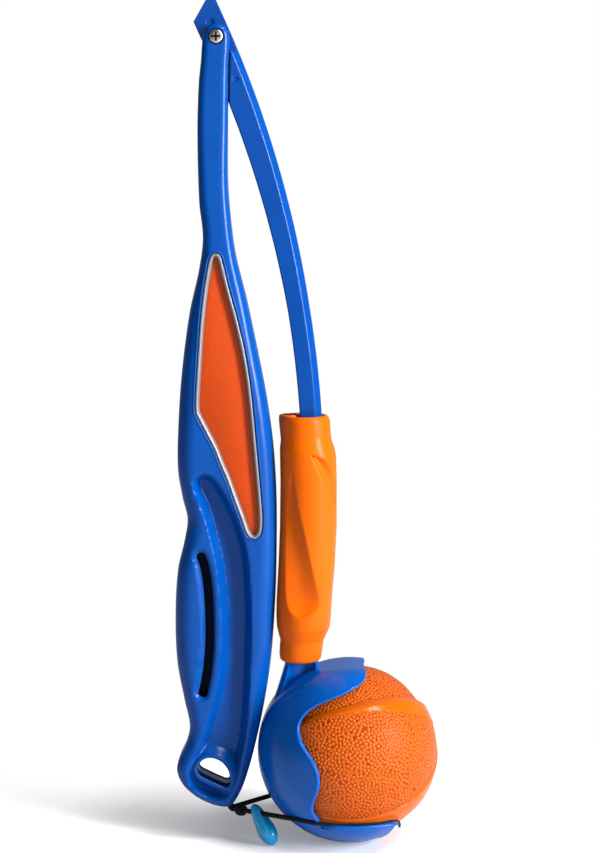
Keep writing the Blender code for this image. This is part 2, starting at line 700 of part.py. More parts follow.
def bolt_sinks(front, rear, cutters):
    """The round sink for the pivot bolt's head and the six-sided one for its nut."""
    face = NECK_THICKNESS / 2
    depth = BOLT_HEAD_HEIGHT - BOLT_HEAD_PROUD + SEAT_GAP
    start = PIVOT + Vector((0.0, -face + depth, 0.0))
    place = aim(start, Vector((0.0, -1.0, 0.0)))
    cut(front, rod("bolt_head_sink", BOLT_HEAD_RADIUS + SEAT_GAP, depth + CUT_OVERRUN, place, cutters, 24))
    start = PIVOT + Vector((0.0, face - NUT_HEIGHT, 0.0))
    place = aim(start, Vector((0.0, 1.0, 0.0)))
    cut(rear, rod("nut_sink", NUT_RADIUS + SEAT_GAP, NUT_HEIGHT + CUT_OVERRUN, place, cutters, 6))


def shell_screws(front, rear, parts, cutters, steel):
    """Countersunk-in screws through the rear shell into the front shell."""
    screws = []
    for number, head in enumerate(shell_screw_places(), 1):
        inward = aim(head, Vector((0.0, -1.0, 0.0)))
        profile = (
            (0.0, SHELL_SCREW_LENGTH), (SHELL_SCREW_RADIUS, SHELL_SCREW_LENGTH),
            (SHELL_SCREW_RADIUS, SHELL_SCREW_HEAD_HEIGHT), (SHELL_SCREW_HEAD_RADIUS, SHELL_SCREW_HEAD_HEIGHT),
            (SHELL_SCREW_HEAD_RADIUS, 0.0), (0.0, 0.0),
        )
        screw = turned(f"shell_screw_{number}", profile, 14, inward, parts)
        screws.append(dress(screw, steel))
        sink = SHELL_SCREW_HEAD_HEIGHT + SEAT_GAP
        outside = aim(head + Vector((0.0, CUT_OVERRUN, 0.0)), Vector((0.0, -1.0, 0.0)))
        radius = SHELL_SCREW_HEAD_RADIUS + SEAT_GAP
        head_sink = rod(f"screw_sink_{number}", radius, sink + CUT_OVERRUN, outside, cutters, 14)
        shank = rod(f"screw_hole_{number}", SHELL_SCREW_RADIUS + SEAT_GAP,
                    SHELL_SCREW_LENGTH + SEAT_GAP + CUT_OVERRUN, outside, cutters, 10)
        cut(rear, head_sink, shank)
        cut(front, shank)
    return screws


def dress(thing, material):
    thing.data.materials.clear()
    thing.data.materials.append(material)
    return smooth_shading(thing)


def inlay_and_trim(side, parts, cutters, orange, silver):
    """The sunk coloured panel and the raised bright frame round it."""
    tag = "front" if side < 0 else "rear"
    floor = HANDLE_THICKNESS / 2 - INLAY_DEPTH + SEAT_GAP
    outline, sharp = inlay_outline()

    def between(name, shape, near, far, collection):
        low, high = sorted((side * near, side * far))
        return flat_shape(name, shape, low, high, collection, 0.0, 0, 2, sharp)

    panel = between(f"{tag}_inlay", outline, floor, floor + INLAY_THICKNESS, parts)
    top = HANDLE_THICKNESS / 2 + TRIM_PROUD
    trim = between(f"{tag}_trim", widened(outline, TRIM_WIDTH), floor, top, parts)
    inside = widened(outline, SEAT_GAP)
    cut(trim, between(f"{tag}_trim_window", inside, floor - CUT_OVERRUN, top + CUT_OVERRUN, cutters))
    return dress(panel, orange), dress(trim, silver)


def pivot_bolt(parts, cutters, nickel):
    face = NECK_THICKNESS / 2
    head_base = -face + BOLT_HEAD_HEIGHT - BOLT_HEAD_PROUD
    length = face - head_base - BOLT_END_PROUD
    dome = [(BOLT_HEAD_RADIUS * sin(a), BOLT_HEAD_HEIGHT * (1 - BOLT_DOME_SHARE * (1 - cos(a)))) for a in
            (pi / 2 * i / 4 for i in range(5))]
    profile = [*dome, (BOLT_HEAD_RADIUS, 0.0), (BOLT_RADIUS, 0.0), (BOLT_RADIUS, -length), (0.0, -length)]
    place = aim(PIVOT + Vector((0.0, head_base, 0.0)), Vector((0.0, -1.0, 0.0)))
    bolt = turned("pivot_screw", profile, 24, place, parts)
    crown = PIVOT + Vector((0.0, head_base - BOLT_HEAD_HEIGHT, 0.0))
    for name, half_x, half_z in (("cross_slot_wide", CROSS_LENGTH / 2, CROSS_WIDTH / 2),
                                 ("cross_slot_tall", CROSS_WIDTH / 2, CROSS_LENGTH / 2)):
        low = crown - Vector((half_x, CUT_OVERRUN, half_z))
        high = crown + Vector((half_x, CROSS_DEPTH, half_z))
        cut(bolt, box(name, low, high, cutters))
    return dress(bolt, nickel)


def pivot_nut(parts, cutters, nickel):
    start = PIVOT + Vector((0.0, NECK_THICKNESS / 2 - NUT_HEIGHT + SEAT_GAP, 0.0))
    place = aim(start, Vector((0.0, 1.0, 0.0)))
    nut = rod("pivot_nut", NUT_RADIUS, NUT_HEIGHT - 2 * SEAT_GAP, place, parts, 6)
    hole = aim(start - Vector((0.0, CUT_OVERRUN, 0.0)), Vector((0.0, 1.0, 0.0)))
    cut(nut, rod("nut_hole", BOLT_RADIUS + SEAT_GAP, NUT_HEIGHT + 2 * CUT_OVERRUN, hole, cutters))
    return dress(nut, nickel)


def washer(side, parts, white):
    tag = "front" if side < 0 else "rear"
    near = TONGUE_THICKNESS / 2 + SEAT_GAP
    low = near if side > 0 else -near - WASHER_THICKNESS
    inner, outer = BOLT_RADIUS + SEAT_GAP, WASHER_RADIUS
    corner = (inner, WASHER_THICKNESS)
    ring = (corner, (outer, WASHER_THICKNESS), (outer, 0.0), (inner, 0.0), corner)
    place = aim(PIVOT + Vector((0.0, low, 0.0)), Vector((0.0, 1.0, 0.0)))
    return dress(turned(f"{tag}_washer", ring, 24, place, parts), white)


def arm_point(run, offset):
    """A point of the arm at a run along its bent middle line from the pivot, offset to its right side."""
    heading = ARM_TILT - run / ARM_BEND_RADIUS
    x = PIVOT_X + ARM_BEND_RADIUS * (cos(heading) - cos(ARM_TILT))
    z = PIVOT_Z - ARM_BEND_RADIUS * (sin(ARM_TILT) - sin(heading))
    return x + offset * cos(heading), z + offset * sin(heading)


def arm_half_width(run):
    share = min(max(run / ARM_TAPER_LENGTH, 0.0), 1.0)
    return (ARM_ROOT_WIDTH + (ARM_WIDTH - ARM_ROOT_WIDTH) * share) / 2


def arm_band(start, end, steps):
    """The arm's outline between two runs, clockwise from the start of its right edge."""
    runs = [start + (end - start) * i / steps for i in range(steps + 1)]
    right = [arm_point(run, arm_half_width(run)) for run in runs]
    left = [arm_point(run, -arm_half_width(run)) for run in reversed(runs)]
    return right + left


def heel_place(run_back, offset):
    """A point of the heel, straight back from the pivot."""
    x = PIVOT_X - run_back * sin(ARM_TILT) + offset * cos(ARM_TILT)
    z = PIVOT_Z + run_back * cos(ARM_TILT) + offset * sin(ARM_TILT)
    return x, z


def arm(parts, cutters, blue):
    """The bent arm: a thin pointed tongue in the clevis, a thick bar, and a thin tang in the cup's stem."""
    half = ARM_ROOT_WIDTH / 2
    heel = [heel_place(HEEL_LEFT_REACH, -half), heel_place(HEEL_RIGHT_REACH, half)]
    outline = heel + arm_band(0.0, TONGUE_LENGTH, 3)
    tongue = polygon("arm_tongue", outline, -TONGUE_THICKNESS / 2, TONGUE_THICKNESS / 2, cutters)
    bar = arm_bar(parts, cutters)
    combine(bar, tongue, "UNION")
    low = (grip_axis(STEM_TOP) - TANG_WIDTH / 2, -TANG_THICKNESS / 2, TANG_BOTTOM)
    bar_end = arm_point(ARM_LENGTH, 0.0)[1]
    high = (grip_axis(STEM_TOP) + TANG_WIDTH / 2, TANG_THICKNESS / 2, bar_end + TANG_WIDTH)
    combine(bar, box("arm_tang", low, high, cutters), "UNION")
    hole = aim(PIVOT - Vector((0.0, ARM_THICKNESS, 0.0)), Vector((0.0, 1.0, 0.0)))
    cut(bar, rod("arm_bolt_hole", BOLT_RADIUS + SEAT_GAP, 2 * ARM_THICKNESS, hole, cutters))
    for side in (-1, 1):
        cut(bar, *arm_dimples(side, cutters))
    for name, place in pin_places():
        cut(bar, rod(f"{name}_arm_hole", PIN_RADIUS + SEAT_GAP, 2 * PIN_LENGTH,
                     aim(place - Vector((0.0, PIN_LENGTH, 0.0)), Vector((0.0, 1.0, 0.0))), cutters, 12))
    return dress(bar, blue)


def arm_bar(parts, cutters):
    """The thick bar, cut back where it lies along the handle's neck."""
    half = ARM_THICKNESS / 2
    bar = polygon("arm", arm_band(0.0, ARM_LENGTH, ARM_STEPS), -half, half, parts, ARM_CHAMFER)
    top = PIVOT_Z + ARM_ROOT_WIDTH
    left = PIVOT_X - HANDLE_WIDTH
    shoulder = PIVOT_Z - SHOULDER_DROP
    foot = shoulder - SHOULDER_GAP_LENGTH
    beside_neck = [
        (left, top), (PIVOT_X + HANDLE_WIDTH, top), (PIVOT_X + HANDLE_WIDTH, shoulder),
        (PIVOT_X + handle_side(shoulder) + SHOULDER_GAP_TOP, shoulder),
        (PIVOT_X + handle_side(foot) + SHOULDER_GAP_FOOT, foot), (left, foot),
    ]
    return cut(bar, polygon("neck_room", beside_neck, -ARM_THICKNESS, ARM_THICKNESS, cutters))


def arm_dimples(side, cutters):
    tag = "front" if side < 0 else "rear"
    spots = (("detent", heel_place(DETENT_REACH, 0.0), DETENT_RADIUS, TONGUE_THICKNESS / 2),
             ("dimple", arm_point(ARM_DIMPLE_REACH, SEAT_GAP), ARM_DIMPLE_RADIUS, ARM_THICKNESS / 2))
    for name, (x, z), radius, face in spots:
        start = Vector((x, side * (face - DETENT_DEPTH), z))
        place = aim(start, Vector((0.0, float(side), 0.0)))
        yield rod(f"{tag}_{name}", radius, DETENT_DEPTH + SEAT_GAP, place, cutters, 16)


def pin_places():
    middle = (STEM_TOP + TANG_BOTTOM) / 2
    for name, way in (("upper_cup_pin", 1), ("lower_cup_pin", -1)):
        yield name, Vector((grip_axis(STEM_TOP), 0.0, middle + way * PIN_SPACING / 2))


def cup_pins(parts, steel):
    for name, place in pin_places():
        start = place - Vector((0.0, PIN_LENGTH / 2, 0.0))
        yield dress(rod(name, PIN_RADIUS, PIN_LENGTH, aim(start, Vector((0.0, 1.0, 0.0))), parts, 12), steel)


def mouth_outline():
    """Side view of the room in front of the cup's rim: down its curve, along the jaw and out to the right."""
    centre_z = BALL_HEIGHT
    curve = [(x * BALL_RADIUS, centre_z + z * BALL_RADIUS) for x, z in MOUTH_SHARES]
    rim = centre_z - JAW_RIM_DROP
    outside = 2 * CUP_RADIUS
    upper = [(outside, centre_z + outside), (curve[0][0], centre_z + outside)]
    lower = [(curve[-1][0] + LIP_WALL, rim), (JAW_TIP_OUT, rim), (JAW_TIP_OUT, -outside), (outside, -outside)]
    return upper, curve, lower


def cup(parts, cutters, blue):
    """The scoop: a round shell with an S-shaped rim, a thin lower jaw and a stem up into the grip."""
    outer_centre = Vector((-CUP_BACK_SET, 0.0, CUP_HEIGHT))
    shell = ball_shape("cup", CUP_RADIUS, outer_centre, 44, parts)
    combine(shell, cup_stem(cutters), "UNION")
    cut(shell, ball_shape("ball_room", CAVITY_RADIUS, BALL_CENTRE, 40, cutters))
    upper, curve, lower = mouth_outline()
    outline = upper + curve + lower
    sharp = [*range(len(upper)), *range(len(upper) + len(curve) - 1, len(outline))]
    cut(shell, flat_shape("mouth_room", outline, -2 * CUP_RADIUS, 2 * CUP_RADIUS, cutters, 0.0, 0, 2, sharp))
    floor = 4 * CUP_RADIUS
    cut(shell, box("foot_cut", (-floor, -floor, -floor), (floor, floor, 0.0), cutters))
    cut(shell, loop_room("belt_groove", cutters))
    wide, deep = TANG_WIDTH / 2 + SEAT_GAP, TANG_THICKNESS / 2 + SEAT_GAP
    low = (grip_axis(STEM_TOP) - wide, -deep, TANG_BOTTOM - SEAT_GAP)
    high = (grip_axis(STEM_TOP) + wide, deep, STEM_TOP + CUT_OVERRUN)
    cut(shell, box("tang_socket", low, high, cutters))
    for name, place in pin_places():
        start = place - Vector((0.0, PIN_LENGTH, 0.0))
        cut(shell, rod(f"{name}_cup_hole", PIN_RADIUS + SEAT_GAP, 2 * PIN_LENGTH,
                       aim(start, Vector((0.0, 1.0, 0.0))), cutters, 12))
    return dress(shell, blue)


def cup_stem(cutters):
    """The stem that stands in the grip and flares out into the cup below it."""
    line, radii = [], []
    for share in (step / STEM_STEPS for step in range(STEM_STEPS)):
        height = STEM_TOP - STEM_LENGTH * share
        line.append(Vector((grip_axis(height), 0.0, height)))
        radii.append(STEM_RADIUS + (NECK_RADIUS - STEM_RADIUS) * share)
    for down, right, wide in STEM_FLARE_SHARES:
        x = grip_axis(GRIP_BOTTOM) + right * NECK_RADIUS
        line.append(Vector((x, 0.0, GRIP_BOTTOM - down * NECK_RADIUS)))
        radii.append(wide * NECK_RADIUS)
    return tube("cup_stem", line, radii, cutters, 5)


def belt_radius():
    """Distance of the loop's middle line from the cup's axis, where it lies in its groove."""
    reach = CAVITY_RADIUS + BELT_WALL + SEAT_GAP + CORD_RADIUS
    return sqrt(reach**2 - (BALL_HEIGHT - BELT_HEIGHT) ** 2)


def loop_room(name, cutters):
    """Room for the loop along its own route, a gap wider and longer than the cord at each end."""
    points = loop_route()
    for end, inner in ((0, 1), (-1, -2)):
        points[end] = points[end] + (points[end] - points[inner]).normalized() * SEAT_GAP
    return tube(name, points, [CORD_HOLE_RADIUS] * len(points), cutters, 2)


def grip_profile():
    """Outer side and bore of the grip as (radius, height) points, top to bottom and back up."""
    top, foot = GRIP_TOP, GRIP_BOTTOM
    body_top = top - COLLAR_LENGTH - SHOULDER_LENGTH
    body_foot = foot + LOWER_COLLAR_LENGTH + SHOULDER_LENGTH
    bulge = GRIP_BULGE_HEIGHT
    outer = [
        (COLLAR_RADIUS - COLLAR_ROUND, top), (COLLAR_RADIUS, top - COLLAR_ROUND),
        (COLLAR_RADIUS, top - COLLAR_LENGTH),
        ((COLLAR_RADIUS + GRIP_RADIUS) / 2, top - COLLAR_LENGTH - SHOULDER_LENGTH / 3),
        (GRIP_RADIUS, body_top),
        (GRIP_RADIUS, bulge), (GRIP_LOWER_RADIUS, (bulge + body_foot) / 2), (GRIP_LOWER_RADIUS, body_foot),
        ((GRIP_LOWER_RADIUS + LOWER_COLLAR_RADIUS) / 2, body_foot - SHOULDER_LENGTH / 1.5),
        (LOWER_COLLAR_RADIUS, foot + LOWER_COLLAR_LENGTH), (LOWER_COLLAR_RADIUS, foot + COLLAR_ROUND),
        (LOWER_COLLAR_RADIUS - COLLAR_ROUND / 2, foot),
    ]
    bore = [(GRIP_BORE_RADIUS, foot), (GRIP_BORE_RADIUS, (foot + bulge) / 2), (GRIP_BORE_RADIUS, bulge),
            (GRIP_BORE_RADIUS, (top + bulge) / 2), (GRIP_BORE_RADIUS, top)]
    return outer + bore + outer[:1]


def bow(thing):
    """Bend a straight upright piece to the grip's own middle line."""
    for vertex in thing.data.vertices:
        vertex.co.x += grip_axis(vertex.co.z)
    return thing


def grip_flat(number, cutters):
    """A long shallow scoop that lies a little aslant on the grip's side."""
    turn = 2 * pi * (number + GRIP_FLAT_TURN_SHARE) / GRIP_FLAT_COUNT
    half_long, half_wide = GRIP_FLAT_LENGTH / 2, GRIP_FLAT_WIDTH / 2
    reach = (half_wide**2 + GRIP_FLAT_DEPTH**2) / (2 * GRIP_FLAT_DEPTH)
    scoop = ball_shape(f"grip_flat_{number}", 1.0, Vector(), 24, cutters)
    middle = (GRIP_TOP + GRIP_BOTTOM) / 2
    outward = Matrix.Rotation(turn, 4, "Z")
    place = Matrix.Translation((GRIP_RADIUS - GRIP_FLAT_DEPTH + reach, 0.0, middle))
    tilt = Matrix.Rotation(GRIP_FLAT_TILT, 4, "X")
    shape = Matrix.Diagonal((reach, 2 * half_wide, GRIP_FLAT_BULGE_SHARE * half_long, 1.0))
    scoop.data.transform(outward @ place @ tilt @ shape)
    return bow(scoop)


def grip_sleeve(parts, cutters, orange):
    """The soft grip: a bowed tube with two collars, a side lobe at its top and slanting flats."""
    place = Matrix.Identity(4)
    grip = bow(turned("grip_sleeve", grip_profile(), 36, place, parts))
    lobe_x = -(COLLAR_RADIUS - LOBE_RADIUS * LOBE_SEAT_SHARE)
    lobe_place = Matrix.Translation((lobe_x, 0.0, GRIP_TOP - LOBE_LENGTH))
    combine(grip, bow(rod("collar_lobe", LOBE_RADIUS, LOBE_LENGTH, lobe_place, cutters, 20)), "UNION")
    mouth_place = Matrix.Translation((lobe_x, 0.0, GRIP_TOP - LOBE_BORE_DEPTH))
    mouth = bow(rod("lobe_mouth", LOBE_RADIUS * LOBE_BORE_SHARE, LOBE_BORE_DEPTH + CUT_OVERRUN, mouth_place,
                    cutters, 16))
    cut(grip, mouth)
    for number in range(GRIP_FLAT_COUNT):
        cut(grip, grip_flat(number, cutters))
    return dress(grip, orange)


def rim_belt_radius():
    """The same where the loop lies on the jaw's rim, next to the ball."""
    reach = BALL_RADIUS + SEAT_GAP + CORD_RADIUS
    return sqrt(reach**2 - (BALL_HEIGHT - BELT_HEIGHT) ** 2) + WELD


def strand(side):
    """Where a strand has turned toward the cup below its hole, and the belt's touching point there."""
    mouth, outward = cord_hole_mouth(side)
    start = mouth + outward * STRAND_DROP + Vector((STRAND_RUN, 0.0, 0.0))
    radius = belt_radius()
    away = sqrt(start.x**2 + start.y**2)
    angle = atan2(start.y, start.x) - side * acos(radius / away)
    return start, Vector((radius * cos(angle), radius * sin(angle), BELT_HEIGHT)), angle * side


def bead_hole():
    """Where the front strand passes through the bead."""
    start, end, _ = strand(-1)
    return start + (end - start).normalized() * BEAD_HOLE_RUN


def loop_side(side):
    """Half of the loop's route, from its hole in the handle to the side of the jaw's tip."""
    mouth, outward = cord_hole_mouth(side)
    start, end, angle = strand(side)
    route = [mouth - outward * (CORD_HOLE_DEPTH - SEAT_GAP), mouth, mouth + outward * STRAND_DROP]
    route += [start.lerp(end, share / 4) for share in range(4)]
    outer, inner = belt_radius(), rim_belt_radius()
    angle %= 2 * pi
    turns = [(angle, outer), ((angle + GROOVE_END_TURN) / 2, outer), (GROOVE_END_TURN, outer),
             (RISE_TURN, (outer + inner) / 2), *((turn, inner) for turn in RIM_TURNS)]
    for turn, radius in turns:
        route.append(Vector((radius * cos(turn), side * radius * sin(turn), BELT_HEIGHT)))
    for out_share, side_share in TIP_SHARES[:-1]:
        route.append(round_jaw_tip(out_share, side * side_share))
    return route


def round_jaw_tip(out_share, side_share):
    """A point of the loop in front of the jaw's tip, close under the ball."""
    clear = CORD_RADIUS + SEAT_GAP
    reach = BALL_RADIUS + clear
    x, y = out_share * (JAW_TIP_OUT + clear + SEAT_GAP), side_share * reach
    return Vector((x, y, BALL_HEIGHT - sqrt(reach**2 - x**2 - y**2) - SEAT_GAP))


def loop_route():
    tip = round_jaw_tip(*TIP_SHARES[-1])
    return smooth_route([*loop_side(-1), tip, *loop_side(1)[::-1]], 2 * CORD_DIAMETER)


def elastic_loop(parts, black):
    points = loop_route()
    length = sum((b - a).length for a, b in zip(points, points[1:]))
    print(f"elastic loop: {length / MM:.0f} mm in {len(points)} points")
    return dress(tube("elastic_loop", points, [CORD_RADIUS] * len(points), parts, 2), black)


def loop_knot(parts, black):
    """A short wrapped knot on the front strand, close to the handle."""
    start, end, _ = strand(-1)
    run = (end - start).normalized()
    wrap_length = KNOT_LENGTH / KNOT_WRAPS
    ring = [(CORD_HOLE_RADIUS, KNOT_LENGTH)]
    for wrap in range(KNOT_WRAPS):
        for along, out in WRAP_SHARES:
            ring.append((KNOT_RADIUS - SEAT_GAP * (1 - out), KNOT_LENGTH - (wrap + along) * wrap_length))
    ring += [(CORD_HOLE_RADIUS, 0.0), (CORD_HOLE_RADIUS, KNOT_LENGTH)]
    return dress(turned("loop_knot", ring, 14, aim(start + run * SEAT_GAP, run), parts), black)


def pull_bead(parts, cutters, teal):
    """A drop-shaped bead that hangs from the front strand."""
    hole = bead_hole()
    down = Vector((tan(BEAD_LEAN_RIGHT), -tan(BEAD_LEAN_FORWARD), -1.0)).normalized()
    profile = [(0.0, 0.0)]
    for along, wide in BEAD_SHARES:
        profile.append((wide * BEAD_RADIUS, -along * BEAD_LENGTH))
    profile.append((0.0, -BEAD_LENGTH))
    bead = turned("pull_bead", profile, 20, aim(hole - down * BEAD_HOLE_DROP, -down), parts)
    start, end, _ = strand(-1)
    run = (end - start).normalized()
    way = aim(hole - run * BEAD_RADIUS * 2, run)
    cut(bead, rod("bead_hole", CORD_HOLE_RADIUS, BEAD_RADIUS * 4, way, cutters, 14))
    return dress(bead, teal)


def joint_empty(name, place, children):
    """An empty on a joint's axis that carries the pieces which move with it."""
    empty = bpy.data.objects.new(name, None)
    empty.location = place
    bpy.context.scene.collection.objects.link(empty)
    bpy.context.view_layer.update()
    for child in children:
        child.parent = empty
        child.matrix_parent_inverse = empty.matrix_world.inverted()
    return empty


def build():
    clear_scene()
    parts = new_collection("ball_thrower")
    cutters = new_collection("cutters")
    blue = new_material("handle_blue", BLUE, 0.32)
    deep_blue = new_material("cup_blue", DEEP_BLUE, 0.22)
    orange = new_material("inlay_orange", ORANGE, 0.4)
    grip_orange = new_material("grip_orange", GRIP_ORANGE, 0.45)
    ball_orange = new_material("ball_orange", BALL_ORANGE, 0.5)
    silver = new_material("trim_silver", SILVER, 0.25, 0.8)
    nickel = new_material("nickel", NICKEL, 0.25, 1.0)
    steel = new_material("steel", STEEL, 0.35, 1.0)
    black = new_material("cord_black", BLACK, 0.8)
    teal = new_material("bead_teal", TEAL, 0.25)
    white = new_material("washer_white", WHITE, 0.5)

    front = handle_shell(-1, parts, cutters)
    rear = handle_shell(1, parts, cutters)
    bolt_sinks(front, rear, cutters)
    screws = shell_screws(front, rear, parts, cutters, steel)
    moving = [dress(front, blue), dress(rear, blue), *screws]
    for side in (-1, 1):
        moving += inlay_and_trim(side, parts, cutters, orange, silver)
        moving.append(washer(side, parts, white))
    moving += [pivot_bolt(parts, cutters, nickel), pivot_nut(parts, cutters, nickel)]
    moving += [elastic_loop(parts, black), loop_knot(parts, black), pull_bead(parts, cutters, teal)]
    joint_empty("fold_axis", PIVOT, moving)

    arm(parts, cutters, blue)
    cup(parts, cutters, deep_blue)
    list(cup_pins(parts, steel))
    grip_sleeve(parts, cutters, grip_orange)
    ball = dress(ball_shape("ball", BALL_RADIUS, BALL_CENTRE, 36, parts), ball_orange)
    joint_empty("ball_axis", BALL_CENTRE, [ball])
    bpy.context.view_layer.update()


build()
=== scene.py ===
"""A folding dog ball thrower, shown folded and standing on its cup: the dressed model in a plain studio.

Metres, +Z up, and the front looks toward -Y. The side view of every flat shape is the XZ plane.
Each sub-assembly is a class with its sizes as fields, and each finish is a small frozen class.
"""
from __future__ import annotations

import json
import logging
from contextlib import contextmanager
from dataclasses import dataclass, field
from enum import Enum
from math import acos, atan2, cos, pi, radians, sin, sqrt, tan
from typing import Callable, Iterator, Sequence

import bmesh
import bpy
import numpy as np
from mathutils import Matrix, Vector, kdtree

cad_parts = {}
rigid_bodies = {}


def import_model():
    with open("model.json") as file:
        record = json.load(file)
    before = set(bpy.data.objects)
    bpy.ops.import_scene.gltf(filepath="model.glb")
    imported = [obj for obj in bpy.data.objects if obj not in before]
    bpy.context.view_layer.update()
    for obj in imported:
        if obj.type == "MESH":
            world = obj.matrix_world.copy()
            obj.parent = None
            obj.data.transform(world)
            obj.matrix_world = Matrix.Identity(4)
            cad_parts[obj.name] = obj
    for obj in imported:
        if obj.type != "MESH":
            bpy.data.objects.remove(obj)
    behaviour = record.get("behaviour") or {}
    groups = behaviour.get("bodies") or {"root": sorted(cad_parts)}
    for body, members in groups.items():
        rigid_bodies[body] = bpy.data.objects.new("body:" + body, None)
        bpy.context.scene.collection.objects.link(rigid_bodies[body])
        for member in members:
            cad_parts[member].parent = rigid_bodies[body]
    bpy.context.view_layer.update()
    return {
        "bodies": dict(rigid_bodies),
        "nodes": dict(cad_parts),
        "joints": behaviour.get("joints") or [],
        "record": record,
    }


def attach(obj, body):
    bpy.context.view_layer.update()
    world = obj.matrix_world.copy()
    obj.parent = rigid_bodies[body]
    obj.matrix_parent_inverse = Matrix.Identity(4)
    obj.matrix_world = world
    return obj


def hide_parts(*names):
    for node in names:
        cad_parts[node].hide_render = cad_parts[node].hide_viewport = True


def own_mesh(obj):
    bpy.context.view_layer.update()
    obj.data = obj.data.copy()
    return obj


LOG = logging.getLogger("ball_thrower")
MM = 0.001
WELD = 0.004 * MM

Colour = tuple[float, float, float]
Shares = tuple[tuple[float, ...], ...]
Thing = bpy.types.Object
Socket = bpy.types.NodeSocket
Line = Sequence[Vector]


class Side(Enum):
    """The two moulded sides of the thrower."""

    FRONT = -1
    REAR = 1


class Body(Enum):
    """The moving bodies that pieces ride on."""

    ARM = "arm_body"
    HANDLE = "handle_body"
    BALL = "ball_body"


# Work on meshes


def deselect() -> None:
    """Leave nothing selected."""
    bpy.ops.object.select_all(action="DESELECT")


def take_up(thing: Thing) -> None:
    """Make a thing active and the only one selected.

    Args:
        thing: The object to work on next.
    """
    deselect()
    thing.select_set(True)
    bpy.context.view_layer.objects.active = thing


@contextmanager
def edit_mode(thing: Thing, select: str = "DESELECT") -> Iterator[None]:
    """Work on a thing in edit mode.

    Args:
        thing: The mesh object.
        select: SELECT or DESELECT, for all of the mesh at the start.

    Returns:
        A context in which the mesh is open for editing.
    """
    take_up(thing)
    bpy.ops.object.mode_set(mode="EDIT")
    bpy.ops.mesh.select_all(action=select)
    yield
    bpy.ops.object.mode_set(mode="OBJECT")


def select_edges(thing: Thing, wanted: Callable[[Vector, Vector], bool]) -> None:
    """Select the edges whose two ends pass a test. The thing is in edit mode.

    Args:
        thing: The mesh object.
        wanted: Test of an edge's two end points.
    """
    work = bmesh.from_edit_mesh(thing.data)
    for edge in work.edges:
        edge.select = wanted(edge.verts[0].co, edge.verts[1].co)
    work.select_flush_mode()
    bmesh.update_edit_mesh(thing.data)


def face_outwards(thing: Thing) -> Thing:
    """Merge doubles and turn every face outwards.

    Args:
        thing: The mesh object.

    Returns:
        The same object.
    """
    with edit_mode(thing, "SELECT"):
        bpy.ops.mesh.remove_doubles(threshold=WELD)
        bpy.ops.mesh.normals_make_consistent(inside=False)
    return thing


def mesh_object(name: str, points: Sequence[Sequence[float]], faces: Sequence[Sequence[int]] = (),
                edges: Sequence[tuple[int, int]] = ()) -> Thing:
    """Make an object from points and faces.

    Args:
        name: Name of the piece.
        points: Places of its corners.
        faces: Corner numbers of each face.
        edges: Corner numbers of each loose edge.

    Returns:
        The new object.
    """
    mesh = bpy.data.meshes.new(name)
    mesh.from_pydata([tuple(point) for point in points], list(edges), [tuple(face) for face in faces])
    thing = bpy.data.objects.new(name, mesh)
    bpy.context.scene.collection.objects.link(thing)
    return thing


def apply_modifiers(thing: Thing) -> Thing:
    """Apply every modifier of a thing in its order.

    Args:
        thing: The mesh object.

    Returns:
        The same object.
    """
    take_up(thing)
    for step in list(thing.modifiers):
        bpy.ops.object.modifier_apply(modifier=step.name)
    return thing


def combine(target: Thing, tools: Sequence[Thing],
            operation: str = "DIFFERENCE") -> None:
    """Cut or join a thing with several tools, which are used up.

    Args:
        target: The object that changes.
        tools: The objects that cut it or join it.
        operation: DIFFERENCE, UNION or INTERSECT.
    """
    for tool in tools:
        step = target.modifiers.new(operation.lower(), "BOOLEAN")
        step.operation = operation
        step.object = tool
        step.solver = "EXACT"
        apply_modifiers(target)
        bpy.data.objects.remove(tool, do_unlink=True)


def join(target: Thing, *others: Thing) -> Thing:
    """Put other meshes into one object.

    Args:
        target: The object that stays.
        *others: The objects whose meshes go into it.

    Returns:
        The target.
    """
    take_up(target)
    for other in others:
        other.select_set(True)
    bpy.ops.object.join()
    return target


def smooth_by_angle(thing: Thing, angle: float = radians(32.0)) -> Thing:
    """Shade a thing smooth, with edges sharper than an angle kept.

    Args:
        thing: The mesh object.
        angle: Angle from which an edge stays sharp.

    Returns:
        The same object.
    """
    take_up(thing)
    bpy.ops.object.shade_smooth_by_angle(angle=angle)
    return thing


def weigh_normals(thing: Thing) -> Thing:
    """Keep large flat faces flat in their shading, beside small rounded ones.

    Args:
        thing: The mesh object.

    Returns:
        The same object.
    """
    weigh = thing.modifiers.new("weighted_normals", "WEIGHTED_NORMAL")
    weigh.keep_sharp = True
    weigh.weight = 100
    return apply_modifiers(thing)


def rounded(corners: Sequence[tuple[float, float]], radii: Sequence[float],
            steps: int) -> list[tuple[float, float]]:
    """A closed flat line with its corners rounded.

    Args:
        corners: The corners in order.
        radii: Each corner's radius.
        steps: Steps of each rounding.

    Returns:
        The rounded line's points.
    """
    line = []
    for i, (corner, radius) in enumerate(zip(corners, radii)):
        here = Vector((*corner, 0.0))
        back = (Vector((*corners[i - 1], 0.0)) - here).normalized()
        ahead = (Vector((*corners[(i + 1) % len(corners)], 0.0)) - here).normalized()
        half = back.angle(ahead) / 2
        middle = here + (back + ahead).normalized() * radius / sin(half)
        start, end = here + back * radius / tan(half) - middle, here + ahead * radius / tan(half) - middle
        for step in range(steps + 1):
            place = middle + start.normalized().slerp(end.normalized(), step / steps) * radius
            line.append((place.x, place.y))
    return line


def settle(thing: Thing) -> Thing:
    """Put a thing's place, turn and scale into its mesh.

    Args:
        thing: The mesh object.

    Returns:
        The same object.
    """
    take_up(thing)
    bpy.ops.object.transform_apply(location=True, rotation=True, scale=True)
    return thing


